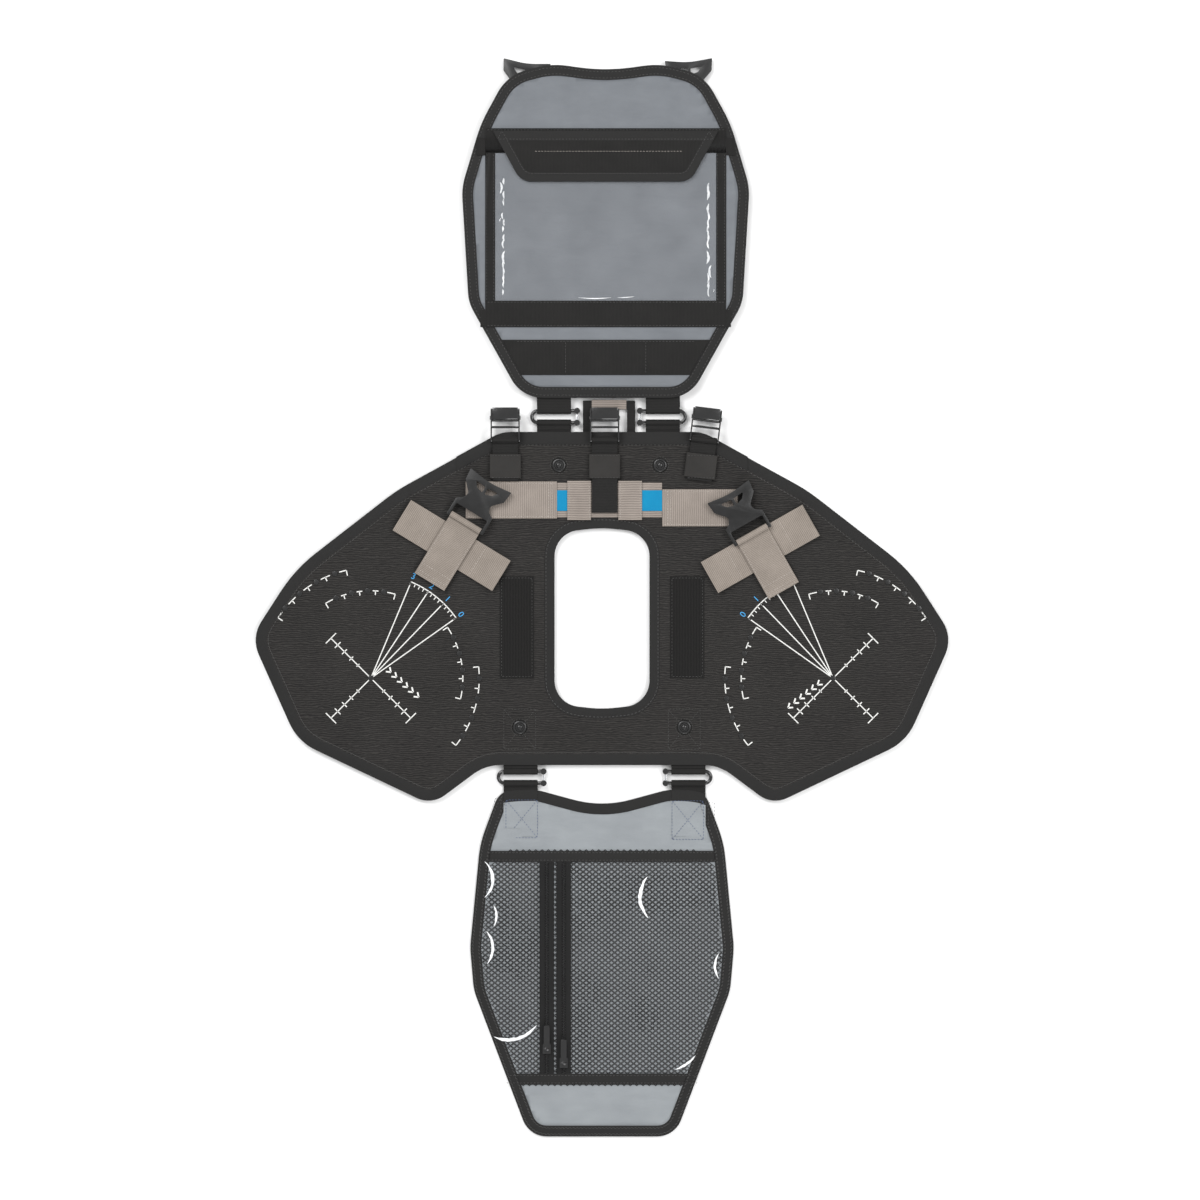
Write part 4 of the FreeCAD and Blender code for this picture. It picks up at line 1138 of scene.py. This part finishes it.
@dataclass
class LegAdjuster:
    """One leg adjuster: a leg strap over a cross strap, and a hook at its upper end."""

    side: Side
    lie: float
    start: float
    cross_at: float
    curl: float = 3.2

    def place(self, along: float, across: float) -> Point:
        """A place along the strap from the pivot, and across it."""
        x, y = polar((self.side.value * LEG_PIVOT[0], LEG_PIVOT[1]), along, self.lie)
        return polar((x, y), across, self.lie - 90.0)

    def build(self) -> None:
        """Lays the straps, sews them and hangs the hook."""
        word = self.side.word
        body = f"leg_arm_{word}"
        leg, cross = ((GREY_LEFT, GREY_CROSS_LEFT) if self.side is Side.LEFT else (GREY_RIGHT, GREY_CROSS_RIGHT))
        rounded_copy(f"leg_webbing_{word}", f"leg_strap_{word}", leg, body, "grey_webbing", 0.5)
        bm = copied(f"cross_strap_{word}", 0.35)
        dice(bm, 8.0)
        middle = self.place(self.cross_at, 0.0)
        cosine, sine = math.cos(math.radians(self.lie - 90)), math.sin(math.radians(self.lie - 90))

        def lift(x: float, y: float) -> float:
            """The curl of the cross strap's free ends."""
            out = abs((x - middle[0]) * cosine + (y - middle[1]) * sine)
            return self.curl * max(0.0, (out - 26.0) / 38.0) ** 1.6

        wave(bm, lift)
        settle(bm, f"cross_webbing_{word}", cross, body, "grey_webbing", f"cross_strap_{word}")
        leg_top = span(f"leg_strap_{word}")[0].z + 2.8
        near = self.start
        rows = [([self.place(near + a, -16.5), self.place(near + a, 16.5)], False) for a in (2.2, 5.6, 14.0)]
        rows += [([self.place(near + 5.6, b), self.place(near + 60.0, b)], False) for b in (-17.2, 17.2)]
        stitched(f"leg_stitches_{word}", rows, leg_top, GREY_THREAD, body, "grey_webbing", 3.2, 0.5)
        rows = []
        for way in (-1, 1):
            for out in (33.0, 36.0):
                rows.append(([self.place(self.cross_at - 17, way * out), self.place(self.cross_at + 17, way * out)],
                             False))
        stitched(f"cross_stitches_{word}", rows, span(f"cross_strap_{word}")[1].z + 0.12, GREY_THREAD, body,
                 "grey_webbing", 3.2, 0.5)
        rounded_copy(f"leg_end_hook_{word}", f"leg_hook_{word}", HOOK_PLASTIC, f"leg_hook_{word}", "hook_plastic",
                     1.1)


@dataclass
class Buckles:
    """Three glossy cam buckles on black straps, each strap through a keeper."""

    places: tuple[tuple[str, float, float], ...] = (("left", -106.1, 0.0), ("middle", 2.9, 0.0),
                                                    ("right", 111.9, -7.0))

    def build(self) -> None:
        """Builds straps, keepers, frames and levers."""
        rounded_copy("buckle_webbing", "buckle_straps", BLACK_WEB, "base", "black_webbing", 0.5)
        rounded_copy("brushed_keepers", "strap_keepers", KEEPER_WEB, "base", "loop_tape", 0.8)
        for word, _, _ in self.places:
            rounded_copy(f"buckle_frame_{word}", f"cam_frame_{word}", BLACK_METAL, f"cam_frame_{word}",
                         "buckle_metal", 0.35)
            rounded_copy(f"buckle_lever_{word}", f"cam_lever_{word}", BLACK_METAL, f"cam_lever_{word}",
                         "buckle_metal", 0.35)
        low, high = span("strap_keepers")
        rows = []
        for _, x, turn in self.places:
            middle = x - 27 * math.sin(math.radians(-turn))
            rows += [([(middle - 15, y), (middle + 15, y)], False) for y in (low.y + 2.5, high.y - 4.0)]
        stitched("keeper_stitches", rows, high.z, BLACK_THREAD, "base", "loop_tape", 3.2, 0.45)


@dataclass
class RingHinges:
    """The gated rings between the panels, the webbing tabs round them and the carrying handle."""

    def build(self) -> None:
        """Builds rings, gates, tabs and handle."""
        for level in ("upper", "lower"):
            rounded_copy(f"{level}_gloss_rings", f"{level}_rings", BLACK_METAL, f"{level}_ring", "ring_metal", 0.3)
            bm = copied(f"{level}_hinge_tabs", 0.45, 3)
            if level == "lower":
                for vert in bm.verts:
                    if vert.co.y / MM < -213.0:
                        vert.co.z = min(vert.co.z, 1.5 * MM)
            settle(bm, f"{level}_webbing_tabs", BLACK_WEB, f"{level}_panel", "black_webbing",
                   f"{level}_hinge_tabs")
            for side in Side:
                name = f"{level}_gate_{side.word}"
                rounded_copy(f"{level}_bright_gate_{side.word}", name, STEEL, name, "gate_steel", 0.3)
        rounded_copy("base_webbing_tabs", "base_hinge_tabs", BLACK_WEB, "base", "black_webbing", 0.45)
        rounded_copy("handle_webbing", "grab_handle", BLACK_WEB, "base", "black_webbing", 0.9)
        rounded_copy("handle_grip_sleeve", "handle_sleeve", GREY_SLEEVE, "base", "grey_webbing", 0.9)


def creases(name: str, curves: Iterable[Crescent], z: float,
            body: str) -> bpy.types.Object:
    """Painted glints on a clear film: thin raised crescents in a near-white, nearly opaque finish, ragged along one
    side.

    Args:
        name: The piece's name.
        curves: Each painted glint's middle, radius, first and last angle, and width.
        z: The film's height.
        body: The body that they ride on.

    Returns:
        The piece.
    """
    bm = bmesh.new()
    for x, y, radius, start, end, width in curves:
        made = bmesh.ops.create_grid(bm, x_segments=30, y_segments=3, size=0.5)
        for vert in made["verts"]:
            t, across = vert.co.x + 0.5, vert.co.y
            taper = math.sin(math.pi * t) ** 0.7
            ragged = 1.0 + 0.6 * puff(t * radius * 0.9, x + y, 2.6, across + 1.0)
            place = polar((x, y), radius + across * width * taper * ragged, start + (end - start) * t)
            vert.co = Vector((*place, z + 0.35 * taper * (0.5 - abs(across)) + 0.1)) * MM
    bmesh.ops.recalc_face_normals(bm, faces=bm.faces)
    if sum(face.normal.z for face in bm.faces) < 0:
        bmesh.ops.reverse_faces(bm, faces=bm.faces)
    # The near-white film finish paints the glints in as highlights.
    return settle(bm, name, PAINTED_GLINT_FILM, body, "clear_vinyl", crease=80.0)


def panel_binding(level: str, face: float) -> None:
    """The rounded tape round a pocket panel, with its two rows of stitches.

    Args:
        level: The panel, upper or lower.
        face: The height of the panel's front.
    """
    body = f"{level}_panel"
    rounded_copy(f"{level}_edge_tape", f"{level}_binding", BLACK_TAPE, body, "binding_tape", 1.1)
    edge = evenly(rims(f"{level}_binding")[0], 5.0)
    stitched(f"{level}_edge_stitches", [(inset(edge, 9.8), True), (inset(edge, 3.0), True)], face, BLACK_THREAD,
             body, "binding_tape", 4.0)


@dataclass
class UpperPanel:
    """The upper pocket panel: slate cloth, a clear window with its tapes and flap, a ribbed band and two hooks."""

    crease: float = 2.4
    buckle: float = 0.9
    middle: float = 4.0
    elastic_reach: float = 137.5
    film_lift: float = 0.15

    def rise(self, x: float, y: float) -> float:
        """The cloth's wrinkles above and below the window, and faintly beside it.

        Args:
            x: The place's X, in millimetres.
            y: The place's Y, in millimetres.

        Returns:
            The lift there.
        """
        top = fade(y - 519.0, 10.0) * fade(572.0 - y, 8.0)
        top *= fade(617.0 - 0.95 * y - abs(x - self.middle), 10.0)
        low = fade(241.0 - y, 6.0) * fade(y - 232.0, 5.0)
        side = fade(abs(x - self.middle) - 134.0, 4.0) * 0.5 if 300 < y < 500 else 0.0
        folds = abs(puff(x * 0.8 + y * 0.5, y - x * 0.4, 34.0, 3.0)) ** 0.8 - 0.3
        return self.crease * 1.6 * max(top, low, side) * folds

    def film_rise(self, x: float, y: float) -> float:
        """The buckles along the window's inner sides and its lower edge.

        Args:
            x: The place's X, in millimetres.
            y: The place's Y, in millimetres.

        Returns:
            The lift there.
        """
        out = abs(x - self.middle)
        band = fade(out - 100.0, 8.0) * fade(119.5 - out, 4.0)
        low = fade(340.0 - y, 6.0) * fade(y - 327.0, 3.0)
        clear = fade(y - 327.0, 4.0) * fade(470.0 - y, 8.0)
        ripple = max(0.0, puff(x * 0.5, y, 8.0, 9.0) + 0.15) + 0.5 * max(0.0, puff(x, y, 4.5, 5.0))
        return self.film_lift + self.buckle * clear * (band + 0.35 * low) * ripple

    def build(self) -> None:
        """Builds the panel and its flap."""
        face = span("upper_fabric")[1].z
        Cloth("upper_slate_cloth", "upper_fabric", UPPER_CLOTH, "upper_panel", "panel_cloth", 6.0,
              rise=self.rise).build()
        panel_binding("upper", face)
        Cloth("window_film", "window_vinyl", FILM, "upper_panel", "clear_vinyl", 2.6, "laid",
              ("upper_slate_cloth",), self.film_rise).build()
        rounded_copy("ribbed_window_tapes", "window_tapes", RIBBED_BAND, "upper_panel", "binding_tape", 0.25, 2)
        self.build_elastics()
        rounded_copy("ribbed_loop_band", "upper_loop_band", RIBBED_BAND, "upper_panel", "loop_tape", 0.3, 2)
        rounded_copy("hook_webbing_loops", "hook_loops", BLACK_WEB, "upper_panel", "black_webbing", 0.45)
        low, high = span("window_tapes")
        left, right = low.x + 1.6, high.x - 1.6
        rows = [([(left, low.y + 1.8), (right, low.y + 1.8)], False),
                ([(left, low.y + 27.4), (right, low.y + 27.4)], False),
                ([(left, high.y - 1.8), (right, high.y - 1.8)], False)]
        rows += [([(x, low.y + 29), (x, high.y - 28)], False) for x in (left, low.x + 9.2, high.x - 9.2, right)]
        stitched("window_stitches", rows, high.z, BLACK_THREAD, "upper_panel", "binding_tape", 3.6, 0.5)
        low, high = span("upper_loop_band")
        rows = [([(x, low.y + 2), (x, high.y - 2)], False) for x in (-40.0, 48.0)]
        rows += [([(low.x + 16, high.y - 1.8), (high.x - 16, high.y - 1.8)], False)]
        stitched("loop_band_stitches", rows, high.z, BLACK_THREAD, "upper_panel", "loop_tape", 3.6, 0.5)
        # Painted glints on the window film.
        creases("window_creases", self.window_creases(), span("window_vinyl")[1].z, "upper_panel")
        self.build_flap()
        for side in Side:
            rounded_copy(f"top_end_hook_{side.word}", f"top_hook_{side.word}", HOOK_PLASTIC,
                         f"top_hook_{side.word}", "hook_plastic", 1.1)

    def window_creases(self) -> list[Crescent]:
        """Painted glints: short bright crescents down the window's inner sides, and a long faint one along its foot.

        Returns:
            Each one's middle, radius, first and last angle, and width.
        """
        curves = []
        for side, share in ((-1, 0.0), (1, 7.0)):
            for step in range(17):
                y = 335.0 + step * 7.6 + 2.5 * puff(step, share, 1.7, 3.0)
                swing = puff(step, share, 0.9, 1.0)
                if swing < -0.28:
                    continue
                x = self.middle + side * (112.5 + 2.5 * puff(step, share, 1.3, 2.0))
                radius = 9.0 + 7.0 * abs(swing)
                face = 180.0 if (step + (side > 0)) % 3 else 0.0
                shift = radius if face == 180.0 else -radius
                half = 22.0 + 26.0 * abs(puff(step, share, 1.1, 5.0))
                curves.append((x + shift, y, radius, face - half, face + half, 1.9 + 1.3 * swing))
        curves.append((-8.0, 480.0, 152.0, 263.0, 277.0, 1.1))
        curves.append((20.0, 430.0, 101.0, 268.0, 279.0, 0.9))
        return curves

    def build_elastics(self) -> None:
        """Builds the corner elastics, with the lower two tucked in at the panel's narrowing edge."""
        bm = copied("window_elastics", 0.3, 2)
        for vert in bm.verts:
            out = vert.co.x / MM - self.middle
            if vert.co.y / MM < 320.0 and abs(out) > self.elastic_reach:
                vert.co.x = (self.middle + math.copysign(self.elastic_reach, out)) * MM
        settle(bm, "corner_elastics", RIBBED_BAND, "upper_panel", "binding_tape", "window_elastics")

    def build_flap(self) -> None:
        """Builds the window's flap with its bound edge and seams."""
        rounded_copy("flap_board", "flap_panel", RIBBED_BAND, "window_flap", "binding_tape", 0.25, 2)
        rounded_copy("flap_edge_tape", "flap_binding", BLACK_TAPE, "window_flap", "binding_tape", 0.45)
        low, high = span("flap_panel")
        edge = evenly(rims("flap_binding")[0], 4.0)
        stitched("flap_edge_stitches", [(inset(edge, 8.6), True)], high.z, BLACK_THREAD, "window_flap",
                 "binding_tape", 3.6, 0.5)
        middle = (low.x + high.x) / 2
        stitched("flap_bright_stitches", [([(middle - 78, high.y - 21.5), (middle + 84, high.y - 21.5)], False)],
                 high.z, GREY_THREAD, "window_flap", "binding_tape", 3.4, 0.4)


@dataclass
class LowerPanel:
    """The lower pocket panel: slate cloth, a net pocket under clear film, cross tapes and two zips."""

    crease: float = 2.0
    cell: float = 4.9
    strand: float = 0.95
    squash: float = 0.8
    zip_middle: float = -51.4
    tooth: float = 0.9
    # Painted glints on the pocket film: each crescent's middle, radius, first and last angle, and width.
    ridges: tuple[Crescent, ...] = (
        (77.0, -329.0, 35.0, 140.0, 222.0, 4.2), (-103.0, -448.0, 38.0, 245.0, 325.0, 4.0),
        (-146.0, -310.0, 26.0, 310.0, 410.0, 3.2), (-148.0, -385.0, 28.0, 320.0, 402.0, 3.2),
        (-140.0, -350.0, 24.0, 330.0, 390.0, 2.4), (148.0, -405.0, 24.0, 145.0, 215.0, 2.6),
        (70.0, -480.0, 40.0, 285.0, 325.0, 2.6))

    def rise(self, x: float, y: float) -> float:
        """The cloth's wrinkles above and below the pockets.

        Args:
            x: The place's X, in millimetres.
            y: The place's Y, in millimetres.

        Returns:
            The lift there.
        """
        top = fade(y + 274.0, 8.0) * fade(-232.0 - y, 8.0)
        low = fade(-539.0 - y, 6.0) * fade(y + 577.0, 6.0)
        return self.crease * 1.5 * max(top, low) * (abs(puff(x, y * 1.4, 40.0, 7.0)) - 0.25)

    def film_rise(self, x: float, y: float) -> float:
        """The pocket film's buckles, clear of the zips and tapes.

        Args:
            x: The place's X, in millimetres.
            y: The place's Y, in millimetres.

        Returns:
            The lift there.
        """
        inside = fade(y + 521.0, 10.0) * fade(-293.0 - y, 10.0)
        zips = fade(abs(x - self.zip_middle) - 21.0, 8.0)
        edge = fade(129.0 - abs(x), 5.0)
        swell = 0.9 * max(0.0, puff(x, y, 60.0, 1.0) + 0.1)
        return inside * zips * edge * swell

    def build(self) -> None:
        """Builds the panel, its pockets and zips."""
        face = span("lower_fabric")[1].z
        Cloth("lower_slate_cloth", "lower_fabric", LOWER_CLOTH, "lower_panel", "panel_cloth", 6.0,
              rise=self.rise).build()
        panel_binding("lower", face)
        self.cover_tabs(face)
        self.build_net()
        Cloth("pocket_film", "pocket_windows", POCKET_FILM, "lower_panel", "clear_vinyl", 3.0, "laid",
              ("pocket_net",), self.film_rise).build()
        # Painted glints on the pocket film.
        creases("pocket_creases", self.ridges, span("pocket_windows")[1].z + 0.4, "lower_panel")
        rounded_copy("pocket_cross_tapes", "pocket_tapes", BLACK_TAPE, "lower_panel", "binding_tape", 0.25, 2)
        rounded_copy("zip_webbing", "zipper_tapes", ZIP_TAPE, "lower_panel", "zip_tape", 0.2, 2)
        self.build_teeth()
        for side in Side:
            for name in ("slider", "pull"):
                node = f"{name}_{side.word}"
                rounded_copy(f"zip_{node}", node, BLACK_METAL, node, "slider_metal", 0.35)
        rows = crossed_box(-105.6, -71.0, -264.0, -222.5) + crossed_box(77.0, 111.6, -266.0, -223.5)
        stitched("blue_cross_stitches", rows, face + 0.15, BLUE_THREAD, "lower_panel", "panel_cloth", 3.4, 0.5)
        low, high = span("pocket_tapes")
        rows = [([(-half, y), (half, y)], False) for half, y in (
            (126, high.y - 2), (126, high.y - 10.2), (106, low.y + 2), (106, low.y + 10.2))]
        stitched("pocket_tape_stitches", rows, high.z, BLACK_THREAD, "lower_panel", "binding_tape", 3.8, 0.5)

    def cover_tabs(self, face: float) -> None:
        """Closes cloth and tape over the webbing tabs sewn in behind them.

        Args:
            face: The height of the panel's front.
        """
        cloth, tape = bmesh.new(), bmesh.new()
        for inner, outer, drop in ((-70.7, -108.2, 2.2), (76.3, 113.8, 4.6)):
            for bm, near, far, crown in ((tape, 0.0, 12.4, 0.15), (cloth, 12.0, 51.0, 0.0)):
                before = set(bm.verts)
                bmesh.ops.create_grid(bm, x_segments=14, y_segments=6, size=0.5)
                fresh = [vert for vert in bm.verts if vert not in before]
                for vert in fresh:
                    t, down = vert.co.x + 0.5, 0.5 - vert.co.y
                    edge = -211.25 - drop * t ** 3.0
                    vert.co = Vector((inner + (outer - inner) * t, edge - near - (far - near) * down,
                                      face + 0.02 + crown * math.sin(math.pi * down))) * MM
        for bm, name, finish, slot in ((tape, "tab_cover_tape", BLACK_TAPE, "binding_tape"),
                                       (cloth, "tab_cover_cloth", LOWER_CLOTH, "panel_cloth")):
            for part in bm.faces:
                if part.normal.z < 0:
                    part.normal_flip()
            walls = bmesh.ops.extrude_face_region(bm, geom=bm.faces[:])
            for item in walls["geom"]:
                if isinstance(item, bmesh.types.BMVert):
                    item.co.z = (face - 1.35) * MM
            bmesh.ops.recalc_face_normals(bm, faces=bm.faces)
            settle(bm, name, finish, "lower_panel", slot)

    def build_net(self) -> None:
        """Knots the pocket's net: a sheet of square cells on their corners, each opened into a diamond."""
        low, high = span("mesh_pockets")
        rim = rims("mesh_pockets")[0]
        count = math.ceil((high - low).length / self.cell)
        half = count * self.cell / 2
        middle = (low + high) / 2
        bm = bmesh.new()
        turn = Matrix.Diagonal((1.0, self.squash, 1.0, 1.0)) @ Matrix.Rotation(math.radians(45), 4, "Z")
        bmesh.ops.create_grid(bm, x_segments=count, y_segments=count, size=half * MM,
                              matrix=Matrix.Translation(Vector((middle.x, middle.y, high.z)) * MM) @ turn)
        outside = [face for face in bm.faces if not within(rim, face.calc_center_median() / MM)]
        bmesh.ops.delete(bm, geom=outside, context="FACES")
        bmesh.ops.inset_individual(bm, faces=bm.faces[:], thickness=self.strand * MM, depth=0.0,
                                   use_even_offset=True)
        openings = [face for face in bm.faces if all(len(edge.link_faces) == 2 for edge in face.edges)
                    and max(edge.calc_length() for edge in face.edges) < (self.cell - 1.2 * self.strand) * MM]
        bmesh.ops.delete(bm, geom=openings, context="FACES")
        piece = settle(bm, "pocket_net", NET, "lower_panel", "pocket_mesh", "mesh_pockets")
        across = self.cell * self.squash / math.sqrt((1.0 + self.squash ** 2) / 2.0)
        covered = 1.0 - (1.0 - 2.0 * self.strand / across) ** 2
        cloth_area("mesh_pockets") * covered

    def build_teeth(self) -> None:
        """Lays the coils' teeth, side by side from both tapes."""
        low, high = span("zipper_coils")
        bm = bmesh.new()
        for x in (low.x + 2.1, high.x - 2.1):
            for step in range(int((high.y - low.y) / self.tooth)):
                way = 1 if step % 2 else -1
                place = Vector((x + way * 0.55, low.y + 0.5 + step * self.tooth, (low.z + high.z) / 2)) * MM
                bmesh.ops.create_icosphere(bm, subdivisions=1, radius=1.0, matrix=Matrix.Translation(place) @
                                           Matrix.Diagonal((1.5 * MM, 0.5 * MM, 0.8 * MM, 1.0)))
        settle(bm, "zip_teeth", ZIP_NYLON, "lower_panel", "zip_nylon", "zipper_coils", crease=80.0)


def within(loop: Sequence[Point], place: Vector) -> bool:
    """Whether a place is inside a closed loop of points.

    Args:
        loop: The loop.
        place: The place.

    Returns:
        True where it is inside.
    """
    inside = False
    for i, (x, y) in enumerate(loop):
        px, py = loop[i - 1]
        if (y > place.y) != (py > place.y) and place.x < (px - x) * (place.y - y) / (py - y) + x:
            inside = not inside
    return inside


@dataclass
class Studio:
    """The pale floor, the soft lights and the camera straight above."""

    middle: Point = (-2.2, -2.75)
    camera_height: float = 3667.0
    lens: float = 100.0
    floor_drop: float = 0.6
    sky: float = 0.75

    def build(self) -> None:
        """Sets up floor, lights and camera."""
        bm = bmesh.new()
        bmesh.ops.create_grid(bm, x_segments=1, y_segments=1, size=4.0,
                              matrix=Matrix.Translation(Vector((0, 0, -self.floor_drop * MM))))
        mesh = bpy.data.meshes.new("studio_floor")
        bm.to_mesh(mesh)
        bm.free()
        mesh.materials.append(PAGE.material())
        floor = bpy.data.objects.new("studio_floor", mesh)
        bpy.context.scene.collection.objects.link(floor)
        world = bpy.data.worlds.new("studio_world")
        world.use_nodes = True
        world.node_tree.nodes["Background"].inputs[0].default_value = (1.0, 1.0, 1.0, 1.0)
        world.node_tree.nodes["Background"].inputs[1].default_value = self.sky
        bpy.context.scene.world = world
        bpy.context.scene.view_settings.view_transform = "Standard"
        self.light("key_light", (-1.3, 1.5, 2.4), 1.5, 62.0)
        self.light("fill_light", (1.6, 0.5, 2.2), 1.2, 34.0)
        self.light("low_light", (0.3, -2.2, 1.5), 0.8, 20.0)
        data = bpy.data.cameras.new("camera")
        data.lens = self.lens
        camera = bpy.data.objects.new("camera", data)
        camera.location = Vector((*self.middle, self.camera_height)) * MM
        bpy.context.scene.collection.objects.link(camera)
        bpy.context.scene.camera = camera

    def light(self, name: str, place: Colour, size: float, power: float) -> None:
        """Hangs a square soft light that faces the object.

        Args:
            name: Its name.
            place: Where it hangs, in metres.
            size: Its side, in metres.
            power: Its power, in watts.
        """
        data = bpy.data.lights.new(name, "AREA")
        data.size = size
        data.energy = power
        made = bpy.data.objects.new(name, data)
        made.location = place
        made.rotation_euler = (-Vector(place)).to_track_quat("-Z", "Y").to_euler()
        bpy.context.scene.collection.objects.link(made)


def main() -> None:
    """Builds the sub-assemblies in order, then the studio."""
    logging.basicConfig(level=logging.INFO, format="%(name)s %(message)s")
    assemblies = [
        BasePanel(), PrintedScales(), WaistBelt(), LegAdjuster(Side.LEFT, 58.6, 123.8, 170.6),
        LegAdjuster(Side.RIGHT, 119.5, 110.5, 163.0), Buckles(), RingHinges(), UpperPanel(), LowerPanel(), Studio(),
    ]
    for assembly in assemblies:
        before = set(bpy.data.objects.keys())
        assembly.build()
        for name in sorted(set(bpy.data.objects.keys()) - before):
            log.info("%s: %s", type(assembly).__name__, name)


if __name__ == "__main__":
    main()
